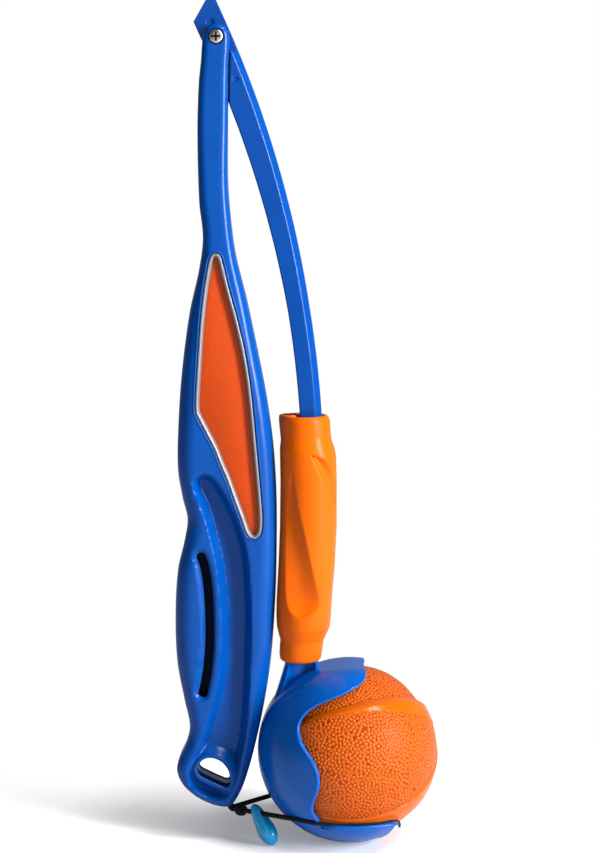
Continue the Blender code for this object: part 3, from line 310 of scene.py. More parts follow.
def ease(share: np.ndarray | float) -> np.ndarray | float:
    """A smooth step from 0 to 1 over shares of 0 to 1."""
    share = np.clip(share, 0.0, 1.0)
    return share * share * (3.0 - 2.0 * share)


# Lines and the shapes that follow them


def even_line(points: Line, spacing: float, closed: bool = False,
              scaled: bool = True) -> list[Vector]:
    """Points at an even spacing along a smooth line through the given ones.

    Args:
        points: The points that the line passes through.
        spacing: Wanted distance between the new points.
        closed: Whether the line returns to its start.
        scaled: Whether its pull at a point fits the lengths on both sides, or is the same on both.

    Returns:
        The new points; a closed line doesn't repeat its first.
    """
    if closed:
        marks = [points[-1], *points, points[0], points[1]]
    else:
        marks = [points[0] * 2 - points[1], *points, points[-1] * 2 - points[-2]]
    fine: list[Vector] = []
    for a, b, c, d in zip(marks, marks[1:], marks[2:], marks[3:]):
        length = (c - b).length
        leave, arrive = (c - a) * 0.5, (d - b) * 0.5
        if scaled:
            leave = (c - a) * length / max((b - a).length + length, WELD)
            arrive = (d - b) * length / max((d - c).length + length, WELD)
        count = max(2, round(length / spacing * 6))
        for i in range(count):
            t = i / count
            fine.append(b.lerp(c, t * t * (3 - 2 * t)) + leave * t * (1 - t) ** 2 - arrive * t * t * (1 - t))
    fine.append(fine[0].copy() if closed else points[-1])
    runs = [0.0]
    for a, b in zip(fine, fine[1:]):
        runs.append(runs[-1] + (b - a).length)
    count = max(3, round(runs[-1] / spacing))
    line, at = [], 0
    for i in range(count if closed else count + 1):
        target = runs[-1] * i / count
        while at < len(runs) - 2 and runs[at + 1] < target:
            at += 1
        stretch = runs[at + 1] - runs[at]
        line.append(fine[at].lerp(fine[at + 1], (target - runs[at]) / stretch if stretch else 0.0))
    return line


def side_normals(line: Line) -> list[Vector]:
    """Outward normals, in the side view, of a closed clockwise line.

    Args:
        line: The closed line.

    Returns:
        One normal for each point.
    """
    normals = []
    for i, _ in enumerate(line):
        run = line[(i + 1) % len(line)] - line[i - 1]
        normals.append(Vector((-run.z, 0.0, run.x)).normalized())
    return normals


def widened(line: Line, amount: float) -> list[Vector]:
    """The same closed line, moved out by an amount along its normals."""
    return [point + normal * amount for point, normal in zip(line, side_normals(line))]


def lofted(name: str, rings: Sequence[Line], closed_rings: bool = True, closed_run: bool = False,
           caps: bool = True) -> Thing:
    """A skin over rings with equal numbers of points.

    Args:
        name: Name of the piece.
        rings: The rings in order.
        closed_rings: Whether each ring's last point joins its first.
        closed_run: Whether the last ring joins the first.
        caps: Whether the first and last rings are filled.

    Returns:
        The new object.
    """
    size = len(rings[0])
    points = [point for ring in rings for point in ring]
    faces: list[tuple[int, ...]] = []
    for i in range(len(rings) if closed_run else len(rings) - 1):
        near, far = i * size, (i + 1) % len(rings) * size
        for j in range(size if closed_rings else size - 1):
            k = (j + 1) % size
            faces.append((near + j, near + k, far + k, far + j))
    if caps and not closed_run:
        faces.append(tuple(range(size))[::-1])
        faces.append(tuple(range(len(points) - size, len(points))))
    return face_outwards(mesh_object(name, points, faces))


def slab(name: str, line: Line, low: float, high: float) -> Thing:
    """A flat solid: a filled ring set on a side-view line, extruded from one depth to another.

    Args:
        name: Name of the piece.
        line: Its closed line in the side view.
        low: Depth of its front face.
        high: Depth of its rear face.

    Returns:
        The new object.
    """
    deselect()
    bpy.ops.mesh.primitive_circle_add(vertices=len(line), radius=1.0, fill_type="NGON")
    thing = bpy.context.object
    thing.name = name
    for vertex, point in zip(thing.data.vertices, line):
        vertex.co = (point.x, low, point.z)
    with edit_mode(thing, "SELECT"):
        bpy.ops.mesh.extrude_region_move(TRANSFORM_OT_translate={"value": (0.0, high - low, 0.0)})
        bpy.ops.mesh.select_all(action="SELECT")
        bpy.ops.mesh.normals_make_consistent(inside=False)
    return thing


def bevel_where(thing: Thing, wanted: Callable[[Vector, Vector], bool], width: float,
                segments: int = 3, profile: float = 0.5) -> Thing:
    """Bevel the edges that pass a test.

    Args:
        thing: The mesh object.
        wanted: Test of an edge's two end points.
        width: Width of the bevel.
        segments: Number of its steps.
        profile: Its roundness: 0.5 round, 0.25 flat.

    Returns:
        The same object.
    """
    with edit_mode(thing):
        bpy.ops.mesh.select_mode(type="EDGE")
        select_edges(thing, wanted)
        bpy.ops.mesh.bevel(offset=width, segments=segments, profile=profile, affect="EDGES",
                           clamp_overlap=True)
    return thing


def turned(name: str, profile: Sequence[tuple[float, float]], steps: int, place: Matrix) -> Thing:
    """Spin a profile of (radius, height) points round the Z axis of a place.

    Args:
        name: Name of the piece.
        profile: The profile, from one end to the other.
        steps: Number of steps round.
        place: Where the axis stands.

    Returns:
        The new object.
    """
    points = [(radius, 0.0, height) for radius, height in profile]
    thing = mesh_object(name, points, edges=[(i, i + 1) for i in range(len(points) - 1)])
    with edit_mode(thing, "SELECT"):
        bpy.ops.mesh.spin(steps=steps, angle=2 * pi, center=(0.0, 0.0, 0.0), axis=(0.0, 0.0, 1.0))
    thing.data.transform(place)
    return face_outwards(thing)


def rod(name: str, radius: float, length: float, place: Matrix, steps: int = 48) -> Thing:
    """A round solid from a place's origin up its Z axis."""
    return turned(name, ((0.0, length), (radius, length), (radius, 0.0), (0.0, 0.0)), steps, place)


def tube(name: str, line: Line, radii: Sequence[float], around: int = 12,
         closed: bool = False) -> Thing:
    """A round bar along a line, with its run and its way round as a UV map.

    Args:
        name: Name of the piece.
        line: Its middle line.
        radii: Its radius at each point.
        around: Points round it.
        closed: Whether it returns to its start.

    Returns:
        The new object.
    """
    count = len(line)
    rings, side = [], None
    for i, point in enumerate(line):
        after = line[(i + 1) % count] if closed or i < count - 1 else point
        before = line[i - 1] if closed or i > 0 else point
        run = (after - before).normalized()
        if side is None:
            side = run.orthogonal().normalized()
        side = (side - run * side.dot(run)).normalized()
        other = run.cross(side)
        rings.append([point + (side * cos(a) + other * sin(a)) * radii[i]
                      for a in (2 * pi * j / around for j in range(around))])
    thing = lofted(name, rings, closed_run=closed)
    runs = [0.0]
    for a, b in zip(line, line[1:]):
        runs.append(runs[-1] + (b - a).length)
    layer = thing.data.uv_layers.new(name="run")
    for face in thing.data.polygons:
        turns = [thing.data.loops[i].vertex_index % around for i in face.loop_indices]
        wraps = max(turns) - min(turns) > 1
        for loop, turn in zip(face.loop_indices, turns):
            station = thing.data.loops[loop].vertex_index // around
            turn = turn + around if wraps and turn == 0 else turn
            layer.data[loop].uv = (turn / around, runs[min(station, count - 1)] / MM)
    return thing


def aim(point: Vector, direction: Vector) -> Matrix:
    """A place whose Z axis points along a direction."""
    turn = Vector((0.0, 0.0, 1.0)).rotation_difference(direction)
    return Matrix.Translation(point) @ turn.to_matrix().to_4x4()


class Region:
    """A closed shape in the side view that tells how far inside it a place lies."""

    def __init__(self, line: Line) -> None:
        """Keep the shape's line."""
        self.points = np.array([(point.x, point.z) for point in line])

    def inside_by(self, places: np.ndarray) -> np.ndarray:
        """Distance from the shape's line, positive inside.

        Args:
            places: One row of (x, z) for each place.

        Returns:
            One distance for each place.
        """
        nearest = np.full(len(places), np.inf)
        inside = np.zeros(len(places), dtype=bool)
        for start, end in zip(self.points, np.roll(self.points, -1, axis=0)):
            run = end - start
            share = np.clip(((places - start) @ run) / max(run @ run, 1e-18), 0.0, 1.0)
            away = places - start - share[:, None] * run
            nearest = np.minimum(nearest, np.hypot(away[:, 0], away[:, 1]))
            if start[1] != end[1]:
                crosses = (start[1] > places[:, 1]) != (end[1] > places[:, 1])
                meets = start[0] + (places[:, 1] - start[1]) / (end[1] - start[1]) * run[0]
                inside ^= crosses & (places[:, 0] < meets)
        return np.where(inside, nearest, -nearest)


# Finishes


def fill(node: bpy.types.Node, values: dict[str, object]) -> None:
    """Set sockets of a node by their names."""
    for name, value in values.items():
        node.inputs[name].default_value = value


class Nodes:
    """The nodes of the world or of a material."""

    def __init__(self, tree: bpy.types.NodeTree) -> None:
        """Keep the tree that the nodes go into."""
        self.tree = tree

    def add(self, kind: str, **values: object) -> bpy.types.Node:
        """Add a node and set its own properties.

        Args:
            kind: Its type.
            **values: Its properties by name.

        Returns:
            The node.
        """
        node = self.tree.nodes.new(kind)
        for key, value in values.items():
            setattr(node, key, value)
        return node

    def link(self, source: Socket, target: Socket) -> None:
        """Join two sockets."""
        self.tree.links.new(source, target)

    def spread(self, source: Socket, low: float, high: float, from_low: float = 0.3,
               from_high: float = 0.7) -> Socket:
        """Carry a value from one range to another.

        Args:
            source: The value.
            low: What the range's low end becomes.
            high: What its high end becomes.
            from_low: Low end of the value's own range, which fits a noise.
            from_high: Its high end.

        Returns:
            The carried value.
        """
        node = self.add("ShaderNodeMapRange")
        fill(node, {"From Min": from_low, "From Max": from_high, "To Min": low, "To Max": high})
        self.link(source, node.inputs["Value"])
        return node.outputs["Result"]

    def calculate(self, operation: str, *values: Socket) -> Socket:
        """Work out a value from others.

        Args:
            operation: What is done with them.
            *values: The values.

        Returns:
            The result.
        """
        node = self.add("ShaderNodeMath", operation=operation)
        for value, socket in zip(values, node.inputs):
            self.link(value, socket)
        return node.outputs[0]

    def multiply(self, first: Socket, second: Socket) -> Socket:
        """The product of two values."""
        return self.calculate("MULTIPLY", first, second)

    def larger(self, first: Socket, second: Socket) -> Socket:
        """The larger of two values."""
        return self.calculate("MAXIMUM", first, second)

    def length(self, vector: Socket) -> Socket:
        """Length of a vector.

        Args:
            vector: The vector.

        Returns:
            Its length.
        """
        node = self.add("ShaderNodeVectorMath", operation="LENGTH")
        self.link(vector, node.inputs[0])
        return node.outputs["Value"]


class FinishNodes(Nodes):
    """The nodes of a new material."""

    def __init__(self, name: str) -> None:
        """Start a material with its shader and object coordinates.

        Args:
            name: Name of the material.
        """
        self.material = bpy.data.materials.new(name)
        self.material.use_nodes = True
        super().__init__(self.material.node_tree)
        self.shader = self.tree.nodes["Principled BSDF"]
        self.place = self.add("ShaderNodeTexCoord").outputs["Object"]

    def noise(self, scale: float, detail: float = 2.0) -> Socket:
        """Noise over the object.

        Args:
            scale: Its features for each metre.
            detail: Number of its finer layers.

        Returns:
            The noise, nearly all of it from 0.3 to 0.7.
        """
        node = self.add("ShaderNodeTexNoise")
        fill(node, {"Scale": scale, "Detail": detail})
        self.link(self.place, node.inputs["Vector"])
        return node.outputs["Fac"]

    def blend(self, share: Socket, first: Colour, second: Colour) -> Socket:
        """Mix two colours.

        Args:
            share: Share of the second colour.
            first: The first colour.
            second: The second colour.

        Returns:
            The mixed colour.
        """
        node = self.add("ShaderNodeMix", data_type="RGBA")
        fill(node, {"A": (*first, 1.0), "B": (*second, 1.0)})
        self.link(share, node.inputs["Factor"])
        return node.outputs["Result"]

    def bump(self, height: Socket, distance: float,
             under: Socket | None = None) -> Socket:
        """Turn a height into a bumped normal.

        Args:
            height: The height, from 0 to 1.
            distance: Real height of a 1.
            under: Another bumped normal that this one lies on.

        Returns:
            The bumped normal.
        """
        node = self.add("ShaderNodeBump")
        fill(node, {"Strength": 1.0, "Distance": distance})
        self.link(height, node.inputs["Height"])
        if under:
            self.link(under, node.inputs["Normal"])
        return node.outputs["Normal"]

    def finish(self, colour: Socket, gloss: Socket, normal: Socket,
               **values: float) -> bpy.types.Material:
        """Wire the shader up.

        Args:
            colour: The surface's colour.
            gloss: Its roughness.
            normal: Its bumped normal.
            **values: Plain values of the shader's sockets, with low lines for blanks.

        Returns:
            The finished material.
        """
        for source, name in ((colour, "Base Color"), (gloss, "Roughness"), (normal, "Normal")):
            self.link(source, self.shader.inputs[name])
        fill(self.shader, {name.replace("_", " "): value for name, value in values.items()})
        return self.material


def tinted(colour: Colour, factor: float) -> Colour:
    """A colour made lighter or darker by a factor."""
    return tuple(min(1.0, channel * factor) for channel in colour)


@dataclass(frozen=True)
class Moulded:
    """A moulded plastic or rubber: cloudy colour, fine grain in its gloss, a faint orange-peel skin."""

    name: str
    slot: str
    colour: Colour
    roughness: float = 0.3
    coat: float = 0.0
    coat_roughness: float = 0.12
    specular: float = 0.5
    metallic: float = 0.0
    cloud: float = 0.06
    cloud_scale: float = 55.0
    grain_scale: float = 3200.0
    grain_height: float = 0.006 * MM
    peel_scale: float = 420.0
    peel_height: float = 0.012 * MM

    def material(self) -> bpy.types.Material:
        """Build the finish as a material.

        Returns:
            The material.
        """
        nodes = FinishNodes(self.name)
        colour = nodes.blend(nodes.spread(nodes.noise(self.cloud_scale, 3.0), 0.0, 1.0),
                             tinted(self.colour, 1 - self.cloud), tinted(self.colour, 1 + self.cloud))
        grain = nodes.noise(self.grain_scale)
        gloss = nodes.spread(grain, self.roughness * 0.85, self.roughness * 1.18)
        normal = nodes.bump(nodes.noise(self.peel_scale, 1.0), self.peel_height,
                            nodes.bump(grain, self.grain_height))
        return nodes.finish(colour, gloss, normal, Metallic=self.metallic, Coat_Weight=self.coat,
                            Coat_Roughness=self.coat_roughness, Specular_IOR_Level=self.specular)


@dataclass(frozen=True)
class SpeckledPanel:
    """A satin panel with a fine spark-eroded texture and darker flecks."""

    name: str
    slot: str
    colour: Colour
    fleck: Colour
    roughness: float = 0.5
    specular: float = 0.25
    fleck_scale: float = 1500.0
    gloss_scale: float = 2600.0
    grain_scale: float = 1900.0
    grain_height: float = 0.03 * MM

    def material(self) -> bpy.types.Material:
        """Build the finish as a material.

        Returns:
            The material.
        """
        nodes = FinishNodes(self.name)
        flecks = nodes.spread(nodes.noise(self.fleck_scale, 4.0), 0.0, 1.0, 0.52, 0.68)
        gloss = nodes.spread(nodes.noise(self.gloss_scale, 3.0), self.roughness * 0.8, self.roughness * 1.2)
        normal = nodes.bump(nodes.noise(self.grain_scale, 3.0), self.grain_height)
        return nodes.finish(nodes.blend(flecks, self.colour, self.fleck), gloss, normal,
                            Specular_IOR_Level=self.specular)


@dataclass(frozen=True)
class PebbledRubber:
    """Rubber with a skin of round pebbles, with painted shade down between them.

    The mesh holds, for each face corner, how far off the nearest pebble's middle it is, in mm. For each
    point it holds how bare of pebbles it is.
    """

    name: str
    slot: str
    colour: Colour
    # Darker colour painted as shade down between the pebbles, up to a share of the relief.
    painted_valley_shade: Colour
    roughness: float = 0.34
    bare_roughness: float = 0.2
    specular: float = 0.22
    pebble_radius: float = 0.8
    pebble_height: float = 0.42 * MM
    painted_shade_top: float = 0.62
    grain_scale: float = 3500.0
    grain_height: float = 0.01 * MM

    def material(self) -> bpy.types.Material:
        """Build the finish as a material.

        Returns:
            The material.
        """
        nodes = FinishNodes(self.name)
        off = nodes.length(nodes.add("ShaderNodeAttribute", attribute_name="off_pebble").outputs["Vector"])
        share = nodes.spread(off, 0.0, 1.0, 0.0, self.pebble_radius)
        squared = nodes.multiply(share, share)
        dome = nodes.calculate("SQRT", nodes.spread(squared, 1.0, 0.0, 0.0, 1.0))
        bare = nodes.add("ShaderNodeAttribute", attribute_name="bare").outputs["Fac"]
        relief = nodes.multiply(dome, nodes.spread(bare, 1.0, 0.0, 0.0, 1.0))
        shown = nodes.larger(relief, bare)
        # Painted shade: the colour darkens towards the low ground between the pebbles.
        deep = nodes.spread(shown, 1.0, 0.0, 0.0, self.painted_shade_top)
        gloss = nodes.spread(bare, self.roughness, self.bare_roughness, 0.0, 1.0)
        grain = nodes.bump(nodes.noise(self.grain_scale, 3.0), self.grain_height)
        return nodes.finish(nodes.blend(deep, self.colour, self.painted_valley_shade), gloss,
                            nodes.bump(shown, self.pebble_height, grain), Specular_IOR_Level=self.specular)


@dataclass(frozen=True)
class Metal:
    """A plated or turned metal with fine scratches."""

    name: str
    slot: str
    colour: Colour
    roughness: float = 0.25
    cloud_scale: float = 700.0
    gloss_scale: float = 4000.0
    scratch_scale: float = 2500.0
    scratch_height: float = 0.008 * MM

    def material(self) -> bpy.types.Material:
        """Build the finish as a material.

        Returns:
            The material.
        """
        nodes = FinishNodes(self.name)
        colour = nodes.blend(nodes.spread(nodes.noise(self.cloud_scale, 4.0), 0.0, 1.0),
                             tinted(self.colour, 0.85), tinted(self.colour, 1.1))
        gloss = nodes.spread(nodes.noise(self.gloss_scale), self.roughness * 0.7, self.roughness * 1.4)
        normal = nodes.bump(nodes.noise(self.scratch_scale, 4.0), self.scratch_height)
        return nodes.finish(colour, gloss, normal, Metallic=1.0)


@dataclass(frozen=True)
class BraidedCord:
    """Round elastic in a fine braided sleeve, drawn along the cord's own run."""

    name: str
    slot: str
    colour: Colour
    lighter: Colour
    strands: float = 8.0
    pitch: float = 1.4
    wave_scale: float = 0.31
    braid_height: float = 0.09 * MM
    gloss_scale: float = 3000.0

    def material(self) -> bpy.types.Material:
        """Build the finish as a material.

        Returns:
            The material.
        """
        nodes = FinishNodes(self.name)
        run = nodes.add("ShaderNodeUVMap", uv_map="run").outputs["UV"]
        heights = []
        for lean in (1.0, -1.0):
            turned_run = nodes.add("ShaderNodeMapping")
            turned_run.inputs["Scale"].default_value = (self.strands, lean / self.pitch, 1.0)
            nodes.link(run, turned_run.inputs["Vector"])
            wave = nodes.add("ShaderNodeTexWave", wave_type="BANDS", bands_direction="DIAGONAL")
            wave.inputs["Scale"].default_value = self.wave_scale
            nodes.link(turned_run.outputs["Vector"], wave.inputs["Vector"])
            heights.append(wave.outputs["Fac"])
        braid = nodes.multiply(*heights)
        gloss = nodes.spread(nodes.noise(self.gloss_scale), 0.7, 0.9)
        return nodes.finish(nodes.blend(braid, self.colour, self.lighter), gloss,
                            nodes.bump(braid, self.braid_height), Sheen_Weight=0.04, Specular_IOR_Level=0.25)


class Palette:
    """Every finish of the thrower, built once."""

    def __init__(self) -> None:
        """Build the finishes by name."""
        finishes = (
            Moulded("handle_blue", "handle_blue", (0.0, 0.066, 0.335), 0.23, specular=0.2),
            Moulded("arm_blue", "handle_blue", (0.0, 0.056, 0.3), 0.19, specular=0.22),
            # Near black: painted shade for the deepest faces of the slot and of the bolt's cross recess.
            Moulded("painted_recess_shade", "handle_blue", (0.0, 0.006, 0.03), 0.6, specular=0.1),
            Moulded("cup_blue", "cup_blue", (0.0, 0.1, 0.47), 0.2, specular=0.22),
            Moulded("grip_orange", "grip_orange", (0.78, 0.12, 0.0), 0.3, specular=0.14),
            Moulded("trim_silver", "trim_silver", (0.3, 0.3, 0.32), 0.3, metallic=0.5, cloud=0.03),
            Moulded("bead_teal", "bead_teal", (0.003, 0.32, 0.66), 0.2, specular=0.45, coat=0.2,
                    coat_roughness=0.06),
            Moulded("washer_white", "washer_white", (0.85, 0.85, 0.83), 0.45),
            SpeckledPanel("inlay_orange", "inlay_orange", (0.55, 0.055, 0.0), (0.46, 0.037, 0.0)),
            # The second colour is the painted shade between the pebbles.
            PebbledRubber("ball_orange", "ball_orange", (0.66, 0.11, 0.001), (0.37, 0.03, 0.0)),
            Metal("nickel", "nickel", (0.62, 0.57, 0.52), 0.28),
            Metal("steel", "steel", (0.55, 0.56, 0.58), 0.35),
            BraidedCord("cord_black", "cord_black", (0.003, 0.003, 0.004), (0.012, 0.012, 0.014)),
        )
        self.materials = {finish.name: finish.material() for finish in finishes}
        self.slots = {finish.name: finish.slot for finish in finishes}

    def dress(self, thing: Thing, *names: str) -> Thing:
        """Give a piece its finishes, its main one first.

        Args:
            thing: The piece.
            *names: Names of its finishes.

        Returns:
            The same piece.
        """
        thing.data.materials.clear()
        for name in names:
            thing.data.materials.append(self.materials[name])
        return thing


# The handle


@dataclass
class Handle:
    """The hollow handle: two moulded shells with channel, slot, inlay, lanyard hole and clevis."""

    palette: Palette
    pivot: Vector = field(default_factory=lambda: Vector((-48.603, 0.0, 293.6)) * MM)
    length: float = 283.0 * MM
    width: float = 36.0 * MM
    thickness: float = 14.0 * MM
    neck_thickness: float = 11.6 * MM
    neck_taper_top: float = 24.0 * MM
    neck_taper_foot: float = 74.0 * MM
    parting_gap: float = 0.15 * MM
    ear_radius: float = 4.7 * MM
    clevis_depth: float = 24.0 * MM
    clevis_half_gap: float = 2.4 * MM
    outline_spacing: float = 0.95 * MM
    grid: float = 0.65 * MM
    round_steps: int = 11
    bolt_hole: float = 1.8 * MM
    head_sink_radius: float = 2.95 * MM
    head_sink_depth: float = 1.5 * MM
    nut_sink_radius: float = 3.4 * MM
    nut_sink_depth: float = 1.8 * MM
    trim_width: float = 1.85 * MM
    pocket_depth: float = 2.4 * MM
    panel_thickness: float = 0.75 * MM
    channel_depth: float = 5.1 * MM
    channel_wall: float = 2.5 * MM
    channel_rim: float = 0.7 * MM
    channel_fade: float = 6.0 * MM
    slot_width: float = 3.3 * MM
    slot_depth: float = 5.6 * MM
    slot_lip: float = 1.5 * MM
    slot_lip_depth: float = 1.2 * MM
    screw_head_radius: float = 2.4 * MM
    screw_sink: float = 0.4 * MM
    # Outline: share of the length down from the pivot, share of the width to the right
    right_shares: Shares = (
        (0.037, 0.117), (0.110, 0.108), (0.178, 0.106), (0.225, 0.132), (0.270, 0.178), (0.330, 0.292),
        (0.392, 0.395), (0.453, 0.488), (0.515, 0.555), (0.578, 0.586), (0.650, 0.588), (0.720, 0.572),
        (0.800, 0.525), (0.864, 0.444), (0.919, 0.349), (0.948, 0.286), (0.967, 0.232), (0.981, 0.176),
        (0.9905, 0.122),
    )
    left_shares: Shares = (
        (0.9930, 0.050), (0.9885, -0.105), (0.9770, -0.268), (0.9615, -0.390), (0.9430, -0.442),
        (0.9265, -0.410), (0.9054, -0.337), (0.884, -0.308), (0.850, -0.362), (0.800, -0.433),
        (0.740, -0.448), (0.680, -0.420), (0.642, -0.352), (0.613, -0.318), (0.585, -0.366),
        (0.547, -0.412), (0.490, -0.404), (0.420, -0.362), (0.345, -0.280), (0.290, -0.182),
        (0.250, -0.143), (0.205, -0.177), (0.120, -0.191), (0.060, -0.176), (0.030, -0.152),
    )
    inlay_shares: Shares = (
        (0.2765, -0.014), (0.2815, -0.001), (0.3151, 0.0625), (0.3513, 0.1400), (0.3876, 0.2070),
        (0.4214, 0.2550), (0.4606, 0.2925), (0.4999, 0.3215), (0.5394, 0.3495), (0.579, 0.3765),
        (0.6055, 0.391), (0.6215, 0.3875), (0.6294, 0.3626), (0.6241, 0.3277), (0.6055, 0.2766),
        (0.5843, 0.2155), (0.5552, 0.1341), (0.5368, 0.0732), (0.5157, 0.0080), (0.4921, -0.0850),
        (0.4765, -0.1480), (0.4705, -0.1680), (0.4620, -0.1710), (0.4501, -0.1680), (0.4084, -0.1467),
        (0.3564, -0.1160), (0.3176, -0.0800), (0.2815, -0.0300),
    )
    channel_shares: Shares = (
        (0.5524, -0.170), (0.5560, -0.060), (0.5750, 0.050), (0.6000, 0.148), (0.6280, 0.232),
        (0.6524, 0.282), (0.6889, 0.312), (0.7413, 0.326), (0.7807, 0.320), (0.8203, 0.308),
        (0.8601, 0.292), (0.8999, 0.260), (0.9266, 0.218), (0.9533, 0.178), (0.970, 0.125),
        (0.979, 0.050), (0.9805, -0.060), (0.9775, -0.150), (0.967, -0.262), (0.952, -0.322),
        (0.938, -0.312), (0.9266, -0.2707), (0.8999, -0.1674), (0.8601, -0.070), (0.8203, 0.0089),
        (0.7807, 0.0306), (0.7413, 0.0361), (0.6759, -0.0059), (0.642, -0.061), (0.610, -0.125),
        (0.585, -0.195), (0.5735, -0.2359), (0.5603, -0.2455),
    )
    slot_shares: Shares = (
        (0.6590, -0.175), (0.6700, -0.145), (0.7000, -0.108), (0.7417, -0.092), (0.7760, -0.095),
        (0.8110, -0.122), (0.8385, -0.163),
    )
    hole_shares: Shares = (
        (0.9405, -0.2374), (0.9351, -0.231), (0.9263, -0.1693), (0.9239, -0.0977), (0.9263, -0.0161),
        (0.933, 0.0552), (0.9445, 0.1059), (0.9606, 0.1094), (0.9651, 0.0745), (0.9625, 0.003),
        (0.9552, -0.1195), (0.9485, -0.2112),
    )
    shell_screw_shares: Shares = ((0.150, -0.042), (0.527, -0.233), (0.705, 0.440), (0.755, -0.270))
    # Radius of the outer edge: share of the length down, radius in mm
    edge_rounds: Shares = (
        (-0.1, 2.6), (0.14, 3.0), (0.26, 3.6), (0.38, 5.2), (0.5, 6.3), (0.8, 6.4), (0.92, 4.6),
        (1.02, 3.6),
    )

    def at(self, down: float, right: float) -> Vector:
        """A place in the side view, from its shares."""
        return Vector((self.pivot.x + right * self.width, 0.0, self.pivot.z - down * self.length))

    def all_at(self, shares: Shares) -> list[Vector]:
        """Places in the side view, from their shares."""
        return [self.at(*share) for share in shares]

    def outline(self) -> list[Vector]:
        """The handle's closed outline, clockwise from the left of its ear."""
        ear = [self.pivot + Vector((-cos(a), 0.0, sin(a))) * self.ear_radius for a in
               (radians(45.0) * i for i in range(5))]
        return even_line(ear + self.all_at(self.right_shares + self.left_shares), self.outline_spacing,
                         closed=True)

    def rounds_along(self, line: Line) -> list[float]:
        """Radius of the outer edge at each point, kept below the outline's own bends.

        Args:
            line: The handle's outline.

        Returns:
            One radius for each point.
        """
        marks = np.array(self.edge_rounds)
        drops = [(self.pivot.z - point.z) / self.length for point in line]
        wanted = np.interp(drops, marks[:, 0], marks[:, 1]) * MM
        count, reach = len(line), 4
        limits = []
        for i in range(count):
            before, after = line[i] - line[i - reach], line[(i + reach) % count] - line[i]
            turn = before.x * after.z - before.z * after.x
            bend = -2 * turn / max(before.length * after.length * (after + before).length, 1e-15)
            limits.append(0.8 / bend if bend > 0 else 1.0)
        radii = np.minimum(wanted, limits)
        for _ in range(30):
            radii = np.minimum((np.roll(radii, 1) + radii + np.roll(radii, -1)) / 3, wanted)
        return list(radii)

    def thin_share(self, z: np.ndarray | float) -> np.ndarray | float:
        """Share of the full thickness at a height."""
        share = ease((self.pivot.z - z - self.neck_taper_top) / (self.neck_taper_foot - self.neck_taper_top))
        return (self.neck_thickness + (self.thickness - self.neck_thickness) * share) / self.thickness

    def face_drop(self, places: np.ndarray) -> np.ndarray:
        """How far the moulded face lies below its flat at each (x, z).

        Args:
            places: One row of (x, z) for each place.

        Returns:
            One depth for each place.
        """
        channel = Region(even_line(self.all_at(self.channel_shares), 1.2 * MM, closed=True))
        deep = ease((channel.inside_by(places) + self.channel_rim) / (self.channel_wall + self.channel_rim))
        hole = Region(even_line(self.all_at(self.hole_shares), 1.0 * MM, closed=True))
        deep = deep * ease((-hole.inside_by(places) + 1.0 * MM) / self.channel_fade)
        slot = Region(self.slot_line())
        beside = ease(1 + slot.inside_by(places + np.array((0.55 * MM, 0.0))) / self.slot_lip)
        return np.maximum(self.channel_depth * deep, self.slot_lip_depth * beside)

    def soft_body(self) -> Thing:
        """The front half, all its soft forms in one dense skin, before its sharp cuts.

        Returns:
            The uncut half.
        """
        line = self.outline()
        normals = side_normals(line)
        radii = self.rounds_along(line)
        half = self.thickness / 2
        rings = [[point + Vector((0.0, -self.parting_gap, 0.0)) for point in line]]
        for step in range(self.round_steps + 1):
            turn = pi / 2 * step / self.round_steps
            back, down = 1 - cos(turn), 1 - sin(turn)
            rings.append([point - normal * radius * back - Vector((0.0, half - radius * down, 0.0))
                          for point, normal, radius in zip(line, normals, radii)])
        body = lofted("front_handle_shell", rings)
        self.grid_face(body)
        places = np.empty(len(body.data.vertices) * 3)
        body.data.vertices.foreach_get("co", places)
        places = places.reshape(-1, 3)
        floor = -(half - self.face_drop(places[:, (0, 2)]))
        places[:, 1] = np.maximum(places[:, 1], floor) * self.thin_share(places[:, 2])
        body.data.vertices.foreach_set("co", places.ravel())
        body.data.update()
        return body

    def grid_face(self, body: Thing) -> None:
        """Cut the flat face into a fine grid, so that it can be pressed into shape.

        Args:
            body: The half that has the face.
        """
        work = bmesh.new()
        work.from_mesh(body.data)
        face = max((f for f in work.faces if len(f.verts) > 8), key=lambda f: -f.calc_center_median().y)
        sheet: list[bmesh.types.BMFace] = [face]
        corners = [vertex.co.copy() for vertex in face.verts]
        for axis in (2, 0):
            low, high = min(c[axis] for c in corners), max(c[axis] for c in corners)
            count = int((high - low) / self.grid)
            normal = Vector((0.0, 0.0, 0.0))
            normal[axis] = 1.0
            for step in range(1, count):
                place = Vector((0.0, 0.0, 0.0))
                place[axis] = low + (high - low) * step / count
                edges = {edge for f in sheet for edge in f.edges}
                vertices = {vertex for f in sheet for vertex in f.verts}
                result = bmesh.ops.bisect_plane(work, geom=[*vertices, *edges, *sheet], dist=WELD,
                                                plane_co=place, plane_no=normal)
                sheet = [item for item in result["geom"] if isinstance(item, bmesh.types.BMFace)]
        work.to_mesh(body.data)
        work.free()

    def shell(self, side: Side) -> Thing:
        """One finished shell.

        Args:
            side: Front or rear.

        Returns:
            The shell.
        """
        body = self.soft
        if side is Side.REAR:
            body = self.soft.copy()
            body.data = self.soft.data.copy()
            bpy.context.scene.collection.objects.link(body)
            body.data.transform(Matrix.Scale(-1.0, 4, Vector((0.0, 1.0, 0.0))))
            body.data.flip_normals()
        body.name = f"{side.name.lower()}_shell"
        combine(body, self.cutters(side))
        join(body, *self.lips(side))
        smooth_by_angle(body, radians(38.0))
        # The second finish is the painted shade that the slot's deep faces get.
        self.palette.dress(body, "handle_blue", "painted_recess_shade")
        self.shade_slot(body)
        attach(body, Body.HANDLE.value)
        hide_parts(f"{side.name.lower()}_handle_shell")
        LOG.info("%s: %d faces", body.name, len(body.data.polygons))
        return body

